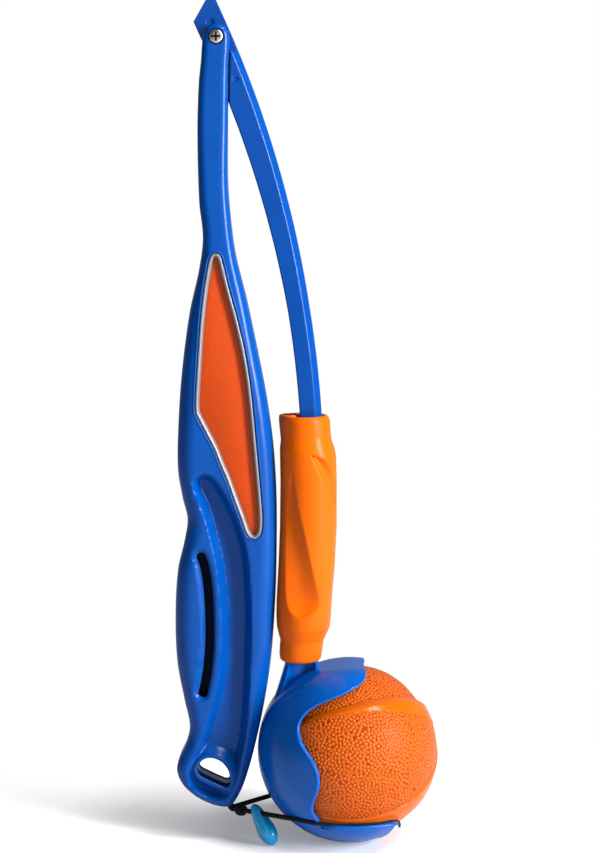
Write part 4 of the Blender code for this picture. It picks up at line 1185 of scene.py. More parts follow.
    def shade_slot(self, body: Thing) -> None:
        """Give the deep faces of the slot a near-black finish as painted shade.

        Args:
            body: The cut shell.
        """
        faces = body.data.polygons
        places = np.array([face.center[:] for face in faces])
        inside = Region(self.slot_line()).inside_by(places[:, (0, 2)]) > -0.05 * MM
        deep = np.abs(places[:, 1]) < self.thickness / 2 - 1.6 * MM
        for face, dark in zip(faces, inside & deep):
            face.material_index = int(dark)

    def inlay_line(self, out: float) -> list[Vector]:
        """The inlay's closed outline moved out by an amount, with a round join over its sharp top.

        Args:
            out: How far it moves out.

        Returns:
            The moved outline.
        """
        line = even_line([*self.all_at(self.inlay_shares), self.at(*self.inlay_shares[0])], 0.5 * MM)[:-1]
        normals = side_normals(line)
        leave, arrive = line[1] - line[0], line[0] - line[-1]
        ends = [Vector((-run.z, 0.0, run.x)).normalized() for run in (arrive, leave)]
        fan = [line[0] + ends[0].slerp(ends[1], i / 8) * out for i in range(9)]
        return fan + [point + normal * out for point, normal in zip(line[1:], normals[1:])]

    def slot_line(self) -> list[Vector]:
        """The slot's closed outline, with round ends, clockwise.

        Returns:
            The outline.
        """
        middle = even_line(self.all_at(self.slot_shares), 1.0 * MM)
        half = self.slot_width / 2
        left, right, ends = [], [], []
        for i, point in enumerate(middle):
            run = (middle[min(i + 1, len(middle) - 1)] - middle[max(i - 1, 0)]).normalized()
            across = Vector((-run.z, 0.0, run.x)) * half
            left.append(point - across)
            right.append(point + across)
        for point, run in ((middle[0], middle[0] - middle[1]), (middle[-1], middle[-1] - middle[-2])):
            heading = atan2(run.z, run.x)
            ends.append([point + Vector((cos(heading + a), 0.0, sin(heading + a))) * half for a in
                         (radians(60.0), radians(30.0), 0.0, radians(-30.0), radians(-60.0))])
        return ends[0] + right + ends[1] + left[::-1]

    def cutters(self, side: Side) -> list[Thing]:
        """The tools for every sharp recess of one side.

        Args:
            side: Front or rear.

        Returns:
            The tools.
        """
        sign, face = side.value, self.thickness / 2
        over = 3.0 * MM

        def recess(name: str, line: Line, depth: float) -> Thing:
            """A tool that sinks a recess into this side's face."""
            low, high = sorted((sign * (face - depth), sign * (face + over)))
            return slab(name, line, low, high)

        reach, foot = 40.0 * MM, -self.clevis_depth
        gap_line = [self.pivot + Vector((x, 0.0, z)) for x, z in
                    ((-reach, reach), (reach, reach), (reach, foot), (-reach, foot))]
        outward = Vector((0.0, float(sign), 0.0))
        neck_face = self.neck_thickness / 2
        depth, radius, steps = ((self.head_sink_depth, self.head_sink_radius, 48) if side is Side.FRONT
                                else (self.nut_sink_depth, self.nut_sink_radius, 6))
        tools = [
            slab("clevis_gap", gap_line, -self.clevis_half_gap, self.clevis_half_gap),
            rod("bolt_hole", self.bolt_hole, 5 * over, aim(self.pivot - outward * over, outward), 32),
            rod("bolt_sink", radius, depth + over,
                aim(self.pivot + outward * (neck_face - depth), outward), steps),
            recess("inlay_pocket", self.inlay_line(self.trim_width + 0.25 * MM), self.pocket_depth),
            recess("slot", self.slot_line(), self.slot_depth),
            slab("lanyard_hole", even_line(self.all_at(self.hole_shares), 0.6 * MM, closed=True),
                 -2 * face, 2 * face),
        ]
        if side is Side.REAR:
            for number, spot in enumerate(self.screw_places()):
                tools.append(rod(f"screw_sink_{number}", self.screw_head_radius + 0.3 * MM, over + 1.7 * MM,
                                 aim(spot - Vector((0.0, 1.7 * MM, 0.0)), outward), 40))
        return tools

    def screw_places(self) -> list[Vector]:
        """Middle of each shell screw's head, on the rear side.

        Returns:
            The four places.
        """
        places = []
        for spot in self.all_at(self.shell_screw_shares):
            depth = self.thickness / 2 * self.thin_share(spot.z) - self.screw_sink
            places.append(Vector((spot.x, depth, spot.z)))
        return places

    def on_face(self, line: Line, side: Side, sunk: float) -> list[Vector]:
        """A side-view line laid on the moulded face of one side, sunk by an amount.

        Args:
            line: The side-view line.
            side: Front or rear.
            sunk: How deep it is sunk.

        Returns:
            The laid line.
        """
        places = np.array([(point.x, point.z) for point in line])
        drops = self.face_drop(places)
        half = self.thickness / 2
        return [Vector((point.x, side.value * ((half - drop) * self.thin_share(point.z) - sunk), point.z))
                for point, drop in zip(line, drops)]

    def lips(self, side: Side) -> list[Thing]:
        """Fine raised lips round the inlay's pocket and the lanyard hole.

        Args:
            side: Front or rear.

        Returns:
            The two lips.
        """
        rim = self.on_face(self.inlay_line(self.trim_width + 0.7 * MM), side, 0.22 * MM)
        hole = even_line(self.all_at(self.hole_shares), 0.6 * MM, closed=True)
        ring = self.on_face(widened(hole, 0.45 * MM), side, 0.35 * MM)
        return [tube("pocket_lip", rim, [0.42 * MM] * len(rim), 10, closed=True),
                tube("hole_lip", ring, [0.8 * MM] * len(ring), 12, closed=True)]

    def trim(self, side: Side) -> Thing:
        """The bright frame round the inlay.

        Args:
            side: Front or rear.

        Returns:
            The frame.
        """
        sign = side.value
        top = self.thickness / 2 + 0.15 * MM
        floor = self.thickness / 2 - self.pocket_depth + 0.05 * MM
        panel = floor + self.panel_thickness
        section = ((0.3, floor), (0.32, panel - 0.1 * MM), (0.5, panel + 0.3 * MM),
                   (0.95, top - 0.22 * MM), (1.1, top - 0.06 * MM), (1.3, top), (1.6, top),
                   (1.78, top - 0.08 * MM), (1.85, top - 0.3 * MM), (1.87, floor))
        lines = [self.inlay_line(out * MM) for out, _ in section]
        rings = [[line[i] + Vector((0.0, sign * depth * self.thin_share(line[i].z), 0.0))
                  for line, (_, depth) in zip(lines, section)] for i in range(len(lines[0]))]
        frame = lofted(f"{side.name.lower()}_trim_frame", rings, closed_run=True)
        smooth_by_angle(frame, radians(50.0))
        self.palette.dress(frame, "trim_silver")
        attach(frame, Body.HANDLE.value)
        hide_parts(f"{side.name.lower()}_trim")
        return frame

    def inlay(self, side: Side) -> Thing:
        """The sunk coloured panel.

        Args:
            side: Front or rear.

        Returns:
            The panel.
        """
        sign = side.value
        floor = self.thickness / 2 - self.pocket_depth + 0.05 * MM
        outer = sign * (floor + self.panel_thickness)
        low, high = sorted((sign * floor, outer))
        panel = slab(f"{side.name.lower()}_panel", self.inlay_line(0.28 * MM), low, high)
        bevel_where(panel, lambda a, b: abs(a.y - outer) < WELD and abs(b.y - outer) < WELD, 0.1 * MM, 2)
        for vertex in panel.data.vertices:
            vertex.co.y *= self.thin_share(vertex.co.z)
        smooth_by_angle(panel)
        self.palette.dress(panel, "inlay_orange")
        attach(panel, Body.HANDLE.value)
        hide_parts(f"{side.name.lower()}_inlay")
        return panel

    def shell_screws(self) -> None:
        """The four countersunk screws with cross recesses on the rear side."""
        for number, spot in enumerate(self.screw_places(), 1):
            place = aim(spot, Vector((0.0, 1.0, 0.0)))
            radius = self.screw_head_radius
            screw = turned(f"shell_screw_{number}_turned", (
                (0.0, 0.02 * MM), (radius * 0.8, 0.0), (radius * 0.95, -0.1 * MM), (radius, -0.3 * MM),
                (radius, -1.4 * MM), (1.1 * MM, -1.4 * MM), (1.1 * MM, -9.0 * MM), (0.0, -9.5 * MM)),
                           40, place)
            combine(screw, cross_cutters(place, 2.6 * MM, 0.55 * MM, 0.7 * MM))
            smooth_by_angle(screw)
            self.palette.dress(screw, "steel")
            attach(screw, Body.HANDLE.value)
            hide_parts(f"shell_screw_{number}")

    def build(self) -> None:
        """Build the whole handle."""
        self.soft = self.soft_body()
        rear = self.shell(Side.REAR)
        front = self.shell(Side.FRONT)
        for side in Side:
            self.trim(side)
            self.inlay(side)
        self.shell_screws()
        LOG.info("handle: %s and %s", front.name, rear.name)


def cross_cutters(place: Matrix, span: float, width: float, depth: float) -> list[Thing]:
    """Two crossed bars that cut a screw's recess into the top at a place.

    Args:
        place: Middle of the screw's top.
        span: Length of the bars.
        width: Their width.
        depth: How deep they cut.

    Returns:
        The two bars.
    """
    bars = []
    for turn in (0.0, pi / 2):
        deselect()
        bpy.ops.mesh.primitive_cube_add(size=1.0)
        bar = bpy.context.object
        bar.data.transform(Matrix.Diagonal((span, width, 2 * depth, 1.0)))
        bar.data.transform(place @ Matrix.Rotation(turn, 4, "Z"))
        bars.append(bar)
    return bars


@dataclass
class Pivot:
    """The bolt, its nut and the two washers that the handle folds on."""

    palette: Palette
    handle: Handle
    head_radius: float = 2.42 * MM
    head_height: float = 1.6 * MM
    head_proud: float = 0.5 * MM
    shank: float = 1.5 * MM
    bolt_length: float = 9.6 * MM
    washer_radius: float = 4.0 * MM

    def build(self) -> None:
        """Build the pivot's hardware."""
        centre, face = self.handle.pivot, self.handle.neck_thickness / 2
        under = Vector((0.0, -face + self.head_height - self.head_proud, 0.0))
        base = aim(centre + under, Vector((0.0, -1.0, 0.0)))
        profile = [(self.head_radius * sin(a), self.head_height * (0.6 + 0.4 * cos(a))) for a in
                   (pi / 2 * i / 8 for i in range(9))]
        profile += [(self.head_radius, 0.0), (self.shank, 0.0), (self.shank, -self.bolt_length),
                    (0.0, -self.bolt_length)]
        bolt = turned("pivot_bolt", profile, 64, base)
        top = base @ Matrix.Translation((0.0, 0.0, self.head_height))
        combine(bolt, cross_cutters(top, 3.3 * MM, 0.7 * MM, 1.2 * MM))
        smooth_by_angle(bolt)
        self.palette.dress(bolt, "nickel")
        self.shade_recess(bolt, base)
        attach(bolt, Body.HANDLE.value)
        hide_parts("pivot_screw")
        start = aim(centre + Vector((0.0, face - 1.5 * MM, 0.0)), Vector((0.0, 1.0, 0.0)))
        nut = turned("pivot_hex_nut", (
            (1.8 * MM, 0.0), (1.8 * MM, 1.2 * MM), (2.6 * MM, 1.2 * MM), (3.1 * MM, 1.05 * MM),
            (3.1 * MM, 0.0), (1.8 * MM, 0.0)), 6, start)
        smooth_by_angle(nut, radians(25.0))
        self.palette.dress(nut, "nickel")
        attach(nut, Body.HANDLE.value)
        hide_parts("pivot_nut")
        for side in Side:
            near = 1.6 * MM if side is Side.REAR else -2.1 * MM
            spot = aim(centre + Vector((0.0, near, 0.0)), Vector((0.0, 1.0, 0.0)))
            ring = turned(f"{side.name.lower()}_pivot_washer", (
                (1.8 * MM, 0.5 * MM), (3.85 * MM, 0.5 * MM), (self.washer_radius, 0.38 * MM),
                (self.washer_radius, 0.12 * MM),
                (3.85 * MM, 0.0), (1.8 * MM, 0.0), (1.8 * MM, 0.5 * MM)), 56, spot)
            smooth_by_angle(ring)
            self.palette.dress(ring, "washer_white")
            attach(ring, Body.HANDLE.value)
            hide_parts(f"{side.name.lower()}_washer")

    def shade_recess(self, bolt: Thing, base: Matrix) -> None:
        """Give the faces down in the bolt's cross recess a near-black finish as painted shade.

        Args:
            bolt: The dressed bolt.
            base: Place of its head's underside.
        """
        # The near-black painted shade for the cross recess.
        bolt.data.materials.append(self.palette.materials["painted_recess_shade"])
        for face in bolt.data.polygons:
            spot = base.inverted() @ face.center
            away = sqrt(spot.x**2 + spot.y**2)
            if away < 0.8 * self.head_radius:
                dome = self.head_height * (0.6 + 0.4 * sqrt(1 - (away / self.head_radius) ** 2))
                if 0 < spot.z < dome - 0.1 * MM:
                    face.material_index = len(bolt.data.materials) - 1


# The arm


@dataclass
class Arm:
    """The bent arm: a thin heel in the clevis and a thick bar with wide chamfers."""

    palette: Palette
    pivot: Vector
    tilt: float = radians(24.3)
    bend: float = 388.0 * MM
    length: float = 172.0 * MM
    root_width: float = 10.5 * MM
    width: float = 8.0 * MM
    taper_length: float = 100.0 * MM
    thickness: float = 7.4 * MM
    chamfer: float = 2.4 * MM
    chamfer_slope: float = 0.95
    sharp_edge: float = 0.15 * MM
    chamfer_edge: float = 1.3 * MM
    soft_edge: float = 0.6 * MM
    bar_steps: int = 140
    edge: float = 0.4 * MM
    tongue_thickness: float = 2.6 * MM
    tongue_length: float = 36.0 * MM
    heel_left: float = 8.2 * MM
    heel_right: float = 15.8 * MM
    shoulder_drop: float = 5.0 * MM
    gap_top: float = 5.2 * MM
    gap_foot: float = 4.6 * MM
    gap_length: float = 24.0 * MM

    def at(self, run: float, offset: float) -> Vector:
        """A place at a run along the arm from the pivot, offset to its right.

        Args:
            run: Distance along the arm.
            offset: Distance to the right.

        Returns:
            The place.
        """
        heading = self.tilt - run / self.bend
        x = self.pivot.x + self.bend * (cos(heading) - cos(self.tilt)) + offset * cos(heading)
        z = self.pivot.z - self.bend * (sin(self.tilt) - sin(heading)) + offset * sin(heading)
        return Vector((x, 0.0, z))

    def half_width(self, run: float) -> float:
        """Half of the arm's width at a run."""
        share = min(max(run / self.taper_length, 0.0), 1.0)
        return (self.root_width + (self.width - self.root_width) * share) / 2

    def band(self, start: float, end: float, steps: int) -> list[Vector]:
        """The arm's outline between two runs, clockwise.

        Args:
            start: The first run.
            end: The last run.
            steps: Number of steps between them.

        Returns:
            The outline.
        """
        runs = [start + (end - start) * i / steps for i in range(steps + 1)]
        right = [self.at(run, self.half_width(run)) for run in runs]
        return right + [self.at(run, -self.half_width(run)) for run in reversed(runs)]

    def heel(self, back: float, offset: float) -> Vector:
        """A place on the heel, straight back from the pivot."""
        return self.pivot + Vector((offset * cos(self.tilt) - back * sin(self.tilt), 0.0,
                                    back * cos(self.tilt) + offset * sin(self.tilt)))

    def bar(self) -> Thing:
        """The thick bar with its chamfers, cut back beside the handle's neck.

        Returns:
            The bar.
        """
        half, wide, deep = self.thickness / 2, self.chamfer, self.chamfer * self.chamfer_slope
        radii = (self.sharp_edge, self.chamfer_edge, self.soft_edge)
        rings = []
        for step in range(self.bar_steps + 1):
            run = self.length * step / self.bar_steps
            side = self.half_width(run)
            corners = ((side, -half + deep), (side - wide, -half), (-side, -half),
                       (-side, half), (side - wide, half), (side, half - deep))
            section = rounded(corners, [*radii, *radii[::-1]], 4)
            rings.append([self.at(run, x) + Vector((0.0, y, 0.0)) for x, y in section])
        bar = lofted("arm_bar", rings)
        left, right, top = self.pivot.x - 30 * MM, self.pivot.x + 30 * MM, self.pivot.z + 12 * MM
        shoulder = self.pivot.z - self.shoulder_drop
        foot = shoulder - self.gap_length
        room = [(left, top), (right, top), (right, shoulder), (self.pivot.x + self.gap_top, shoulder),
                (self.pivot.x + self.gap_foot, foot), (left, foot)]
        combine(bar, [slab("neck_room", [Vector((x, 0.0, z)) for x, z in room], -2 * half, 2 * half)])
        step = bar.modifiers.new("edges", "BEVEL")
        step.width = self.edge
        step.segments = 3
        step.limit_method = "ANGLE"
        step.angle_limit = radians(28.0)
        return apply_modifiers(bar)

    def tongue(self) -> Thing:
        """The pointed heel plate that turns between the handle's ears.

        Returns:
            The plate.
        """
        half = self.root_width / 2
        line = [self.heel(self.heel_left, -half), self.heel(self.heel_right, half)]
        line += self.band(0.0, self.tongue_length, 12)
        side = self.tongue_thickness / 2
        plate = slab("arm_tongue", line, -side, side)
        bevel_where(plate, lambda a, b: abs(a.y - b.y) < WELD, 0.4 * MM, 3)
        return plate

    def tools(self) -> list[Thing]:
        """The bolt hole and the round dimples.

        Returns:
            The tools that cut them.
        """
        rear = Vector((0.0, 1.0, 0.0))
        made = [rod("arm_bolt_hole", 1.8 * MM, 20 * MM, aim(self.pivot - rear * 10 * MM, rear), 40)]
        spots = ((self.heel(5.6 * MM, 0.0), self.tongue_thickness / 2, 3.4, 0.55),
                 (self.at(16.1 * MM, 0.3 * MM), self.thickness / 2, 2.4, 0.42))
        for spot, face, radius, sunk in spots:
            for side in Side:
                deselect()
                centre = spot + Vector((0.0, side.value * (face + (radius - sunk) * MM), 0.0))
                bpy.ops.mesh.primitive_uv_sphere_add(segments=40, ring_count=20, radius=radius * MM,
                                                     location=centre)
                made.append(settle(bpy.context.object))
        return made

    def build(self) -> None:
        """Build the arm."""
        arm = self.bar()
        combine(arm, [self.tongue()], "UNION")
        combine(arm, self.tools())
        arm.name = "bent_arm"
        smooth_by_angle(arm, radians(40.0))
        weigh_normals(arm)
        self.palette.dress(arm, "arm_blue")
        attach(arm, Body.ARM.value)
        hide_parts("arm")
        LOG.info("arm: %d faces", len(arm.data.polygons))


# The grip


@dataclass
class Grip:
    """The soft sleeve: a bowed tube with two collars, a side lobe and long pressed flats."""

    palette: Palette
    around: int = 192
    spacing: float = 0.42 * MM
    bore: float = 6.9 * MM
    # Radius in mm that the turns of the flats are measured on
    flat_reach: float = 10.2
    # (height, middle, radius) in mm from the foot up
    sides: Shares = (
        (67.6, -18.9, 7.0), (68.3, -18.8, 7.6), (70.3, -18.7, 7.85), (75.2, -18.2, 8.05),
        (77.2, -18.0, 8.8), (80.0, -17.7, 9.75), (84.0, -17.6, 10.05), (90.0, -17.4, 10.15),
        (103.3, -16.5, 10.35), (117.0, -15.9, 10.4), (134.0, -15.8, 10.3), (143.0, -16.0, 10.25),
        (146.3, -16.3, 10.0), (148.6, -16.6, 9.4), (150.5, -16.8, 9.15), (156.6, -17.1, 9.05),
        (157.9, -17.2, 8.6), (158.35, -17.2, 7.9),
    )
    # Long flat: (height, left turn, right turn), turns in mm round the sleeve from its front
    long_flat: Shares = (
        (85.4, -1.0, -0.6), (85.9, -3.4, 1.6), (86.8, -4.7, 3.4), (88.2, -6.0, 5.2), (91.0, -7.1, 5.95),
        (95.0, -7.9, 4.7), (99.5, -8.4, 3.2), (109.0, -9.1, 0.6), (122.3, -9.3, -2.95),
        (130.0, -8.8, -4.7), (135.0, -7.9, -5.6), (138.9, -6.45, -6.35),
    )
    # Leaf-shaped scoop, same numbers
    leaf: Shares = (
        (126.0, 12.3, 12.5), (129.0, 9.7, 12.9), (133.5, 6.6, 12.2), (137.0, 4.6, 10.9),
        (140.2, 3.0, 8.9), (143.0, 1.75, 6.0), (144.2, 1.3, 3.9), (144.8, 1.05, 1.3),
    )

    def radius_and_middle(self, z: float) -> tuple[float, float]:
        """The sleeve's radius and the X of its middle line at a height."""
        marks = np.array(self.sides) * MM
        return (float(np.interp(z, marks[:, 0], marks[:, 2])), float(np.interp(z, marks[:, 0], marks[:, 1])))

    def pressed(self, radius: float, turn: float, z: float) -> float:
        """The radius after the flats are pressed in, at a turn from the front and a height.

        Args:
            radius: The round radius.
            turn: The turn from the front.
            z: The height.

        Returns:
            The pressed radius.
        """
        pressed = radius
        for marks, extra in ((np.array(self.long_flat), 0.55), (np.array(self.leaf), 0.95)):
            if not marks[0, 0] < z / MM < marks[-1, 0]:
                continue
            low = float(np.interp(z / MM, marks[:, 0], marks[:, 1])) / self.flat_reach
            high = float(np.interp(z / MM, marks[:, 0], marks[:, 2])) / self.flat_reach
            if low < turn < high:
                middle, half = (low + high) / 2, (high - low) / 2
                chord = radius * cos(half) / cos(turn - middle)
                hollow = extra * MM * sin(pi * (turn - low) / (high - low))
                pressed = min(pressed, chord - hollow)
        return pressed

    def build(self) -> None:
        """Build the sleeve."""
        heights = [mark[0] * MM for mark in self.sides]
        count = round((heights[-1] - heights[0]) / self.spacing)
        rings = []
        for i in range(count + 1):
            z = heights[0] + (heights[-1] - heights[0]) * i / count
            radius, middle = self.radius_and_middle(z)
            ring = []
            for j in range(self.around):
                turn = 2 * pi * j / self.around - pi
                front_turn = turn if abs(turn) <= pi / 2 else (pi - abs(turn)) * (1 if turn > 0 else -1)
                reach = self.pressed(radius, front_turn, z)
                ring.append(Vector((middle + reach * sin(turn), -reach * cos(turn), z)))
            rings.append(ring)
        for end, inset in ((heights[-1], -0.5 * MM), (heights[0], 0.1 * MM)):
            _, middle = self.radius_and_middle(end)
            turns = (2 * pi * j / self.around - pi for j in range(self.around))
            rings.append([Vector((middle + self.bore * sin(a), -self.bore * cos(a), end + inset))
                          for a in turns])
        sleeve = lofted("soft_grip", rings, closed_run=True)
        lobe_place = Matrix.Translation((-22.9 * MM, 0.0, 149.2 * MM))
        lobe = turned("collar_lobe", (
            (2.3 * MM, 6.6 * MM), (2.45 * MM, 8.9 * MM), (2.9 * MM, 9.45 * MM), (3.45 * MM, 9.3 * MM),
            (3.72 * MM, 8.7 * MM), (3.7 * MM, 7.0 * MM), (3.2 * MM, 1.5 * MM), (2.7 * MM, -1.0 * MM),
            (0.0, -1.6 * MM)), 64, lobe_place)
        join(sleeve, lobe)
        face_outwards(sleeve)
        smooth_by_angle(sleeve, radians(50.0))
        self.palette.dress(sleeve, "grip_orange")
        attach(sleeve, Body.ARM.value)
        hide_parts("grip_sleeve")
        LOG.info("grip: %d faces", len(sleeve.data.polygons))


# The cup


@dataclass
class Cup:
    """The scoop: a thin round shell with an S-shaped mouth, a jaw and a ribbed neck."""

    palette: Palette
    loop: "Loop"
    ball_centre: Vector = field(default_factory=lambda: Vector((0.0, 0.0, 33.5)) * MM)
    ball_radius: float = 32.0 * MM
    cavity: float = 32.3 * MM
    radius: float = 34.2 * MM
    centre: Vector = field(default_factory=lambda: Vector((-0.5, 0.0, 33.7)) * MM)
    jaw_drop: float = 22.0 * MM
    jaw_out: float = 14.8 * MM
    rim_bulge: float = 0.75 * MM
    crease_round: float = 1.1 * MM
    mouth_shares: Shares = (
        (0.158, 1.075), (0.166, 1.035), (0.168, 0.995), (0.160, 0.955), (0.132, 0.920), (0.085, 0.888),
        (0.020, 0.856), (-0.100, 0.805), (-0.255, 0.748), (-0.415, 0.672), (-0.520, 0.590),
        (-0.580, 0.500), (-0.592, 0.410), (-0.560, 0.300), (-0.480, 0.190), (-0.405, 0.070),
        (-0.370, -0.065), (-0.382, -0.210), (-0.430, -0.360), (-0.436, -0.480), (-0.370, -0.612),
    )
    # Neck: (height, left edge, right edge, half-depth) in mm
    neck: Shares = (
        (49.0, -30.6, -14.0, 4.0), (53.7, -28.3, -13.0, 4.8), (58.2, -26.8, -12.4, 5.2),
        (62.7, -25.5, -12.1, 5.5), (65.8, -24.6, -12.1, 5.7), (70.0, -24.2, -12.4, 5.8),
        (84.0, -23.0, -11.8, 6.0),
    )
    # Half-width of the flat spine over the top: (x, half-width) in mm
    spine: Shares = (
        (-31.0, 2.5), (-26.5, 6.0), (-22.8, 4.2), (-18.9, 5.0), (-14.7, 7.4), (-11.0, 10.0),
        (-5.5, 11.0), (8.0, 10.6),
    )

    def mouth_line(self, back: float) -> tuple[list[Vector], int]:
        """The mouth's closed outline, drawn back into the cup by an amount.

        Args:
            back: How far it is drawn back.

        Returns:
            The outline, and the number of points of its curve.
        """
        curve = [Vector((x * self.ball_radius, 0.0, self.ball_centre.z + z * self.ball_radius))
                 for x, z in self.mouth_shares]
        fine = even_line(curve, 0.7 * MM)
        drawn = []
        for i, point in enumerate(fine):
            run = (fine[min(i + 1, len(fine) - 1)] - fine[max(i - 1, 0)]).normalized()
            drawn.append(point + Vector((run.z, 0.0, -run.x)) * back)
        rim = self.ball_centre.z - self.jaw_drop - back
        far = 80 * MM
        top = self.ball_centre.z + far
        upper = [Vector((far, 0.0, top)), Vector((drawn[0].x, 0.0, top))]
        tip = self.jaw_out - back
        lower = [Vector((drawn[-1].x + 1.2 * MM, 0.0, rim)), Vector((tip + 1.2 * MM, 0.0, rim)),
                 Vector((tip - 1.2 * MM, 0.0, 6.0 * MM)), Vector((tip - 6.5 * MM, 0.0, 0.2 * MM)),
                 Vector((tip - 8.0 * MM, 0.0, -far)), Vector((far, 0.0, -far))]
        return upper + drawn + lower, len(drawn)

    def shell(self) -> Thing:
        """The round shell with its flat spine, before the mouth is cut.

        Returns:
            The shell.
        """
        deselect()
        bpy.ops.mesh.primitive_uv_sphere_add(segments=224, ring_count=112, radius=self.radius,
                                             location=self.centre)
        shell = settle(bpy.context.object)
        shell.name = "scoop_cup"
        marks = np.array(self.spine) * MM
        for vertex in shell.data.vertices:
            place = vertex.co
            half = float(np.interp(place.x, marks[:, 0], marks[:, 1]))
            room = self.radius**2 - (place.x - self.centre.x) ** 2 - half**2
            if place.z > self.centre.z and room > 0:
                over = place.z - self.centre.z - sqrt(room)
                soft = self.crease_round
                place.z -= max(over, 0.0) if abs(over) > soft else (over + soft) ** 2 / (4 * soft)
        return shell

    def stem(self) -> Thing:
        """The neck between grip and cup: two ribs and a sunk web.

        Returns:
            The neck.
        """
        marks = np.array(self.neck) * MM
        rings, around = [], 96
        for i in range(61):
            z = marks[0, 0] + (marks[-1, 0] - marks[0, 0]) * i / 60
            left, right, deep = (float(np.interp(z, marks[:, 0], marks[:, k])) for k in (1, 2, 3))
            middle, half = (left + right) / 2, (right - left) / 2
            ring = []
            for j in range(around):
                a = 2 * pi * j / around
                c, s = cos(a), sin(a)
                power = 2 / 2.6
                x = middle + half * abs(c) ** power * (1 if c > 0 else -1)
                y = deep * abs(s) ** power * (1 if s > 0 else -1)
                off = abs(x - (middle + 0.06 * half)) / (0.84 * half)
                sunk = ease(2.4 * (1 - off)) * ease((z - 54 * MM) / (6 * MM))
                ring.append(Vector((x, y * (1 - 0.9 * float(sunk)), z)))
            rings.append(ring)
        return lofted("cup_stem", rings)

    def rim(self) -> Thing:
        """The rounded rim that follows the mouth all the way round.

        Returns:
            The rim.
        """
        outline, count = self.mouth_line(self.rim_bulge)
        stretch = outline[1:2 + count + 4]
        fine = [stretch[0]]
        for a, b in zip(stretch, stretch[1:]):
            steps = max(1, round((b - a).length / (0.7 * MM)))
            fine += [a.lerp(b, (i + 1) / steps) for i in range(steps)]
        halves: dict[Side, list[tuple[Vector, Vector, Vector]]] = {side: [] for side in Side}
        for i, point in enumerate(fine):
            before, after = fine[max(i - 3, 0)], fine[min(i + 3, len(fine) - 1)]
            run = (after - before).normalized()
            fade = float(ease((self.flat_top(point.x) - point.z) / (0.9 * MM)))
            outward = Vector((-run.z, 0.0, run.x)) * fade
            inner = self.cavity**2 - (point.x - self.ball_centre.x) ** 2 - (point.z - self.ball_centre.z) ** 2
            outer = self.radius**2 - (point.x - self.centre.x) ** 2 - (point.z - self.centre.z) ** 2
            if inner <= 0 or outer <= 0 or point.z > self.flat_top(point.x):
                continue
            for side in Side:
                halves[side].append((Vector((point.x, side.value * sqrt(inner), point.z)),
                                     Vector((point.x, side.value * sqrt(outer), point.z)), outward))
        stations = halves[Side.FRONT] + halves[Side.REAR][::-1]
        rings = []
        for inner, outer, outward in stations:
            middle, across = (inner + outer) / 2, (outer - inner) / 2
            ring = [middle + across * cos(a) + outward * self.rim_bulge * sin(a) for a in
                    (pi * k / 10 for k in range(11))]
            rings.append([*ring, inner - outward * 0.4 * MM, outer - outward * 0.4 * MM])
        return lofted("cup_rim", rings)

    def flat_top(self, x: float) -> float:
        """Height of the flat spine at an X.

        Args:
            x: The place's X.

        Returns:
            The height.
        """
        marks = np.array(self.spine) * MM
        half = float(np.interp(x, marks[:, 0], marks[:, 1]))
        return self.centre.z + sqrt(max(self.radius**2 - (x - self.centre.x) ** 2 - half**2, 0.0))

    def jaw_beads(self) -> list[Thing]:
        """Rounded lips that stand up outside the loop on both sides of the jaw.

        Returns:
            The two lips.
        """
        beads = []
        for side in Side:
            line, radii = [], []
            for step in range(41):
                share = step / 40
                turn = radians(112.0) + radians(-60.0) * share
                reach = 27.15 * MM
                line.append(Vector((reach * cos(turn), side.value * reach * sin(turn), 11.95 * MM)))
                radii.append(0.85 * MM * min(1.0, 0.35 + 6.0 * min(share, 1 - share)))
            beads.append(tube(f"jaw_bead_{side.name.lower()}", line, radii, 16))
        return beads

    def build(self) -> None:
        """Build the cup."""
        cup = self.shell()
        combine(cup, [self.stem()], "UNION")
        deselect()
        bpy.ops.mesh.primitive_uv_sphere_add(segments=160, ring_count=80, radius=self.cavity,
                                             location=self.ball_centre)
        room = settle(bpy.context.object)
        mouth, _ = self.mouth_line(self.rim_bulge)
        floor = [Vector((x, 0.0, z)) for x, z in ((-0.2, 0.0), (0.2, 0.0), (0.2, -0.2), (-0.2, -0.2))]
        combine(cup, [room, slab("mouth_room", mouth, -70 * MM, 70 * MM), slab("foot_cut", floor, -0.2, 0.2),
                      self.loop.groove()])
        join(cup, self.rim(), *self.jaw_beads())
        smooth_by_angle(cup, radians(35.0))
        self.palette.dress(cup, "cup_blue")
        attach(cup, Body.ARM.value)
        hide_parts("cup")
        LOG.info("cup: %d faces", len(cup.data.polygons))


# The ball


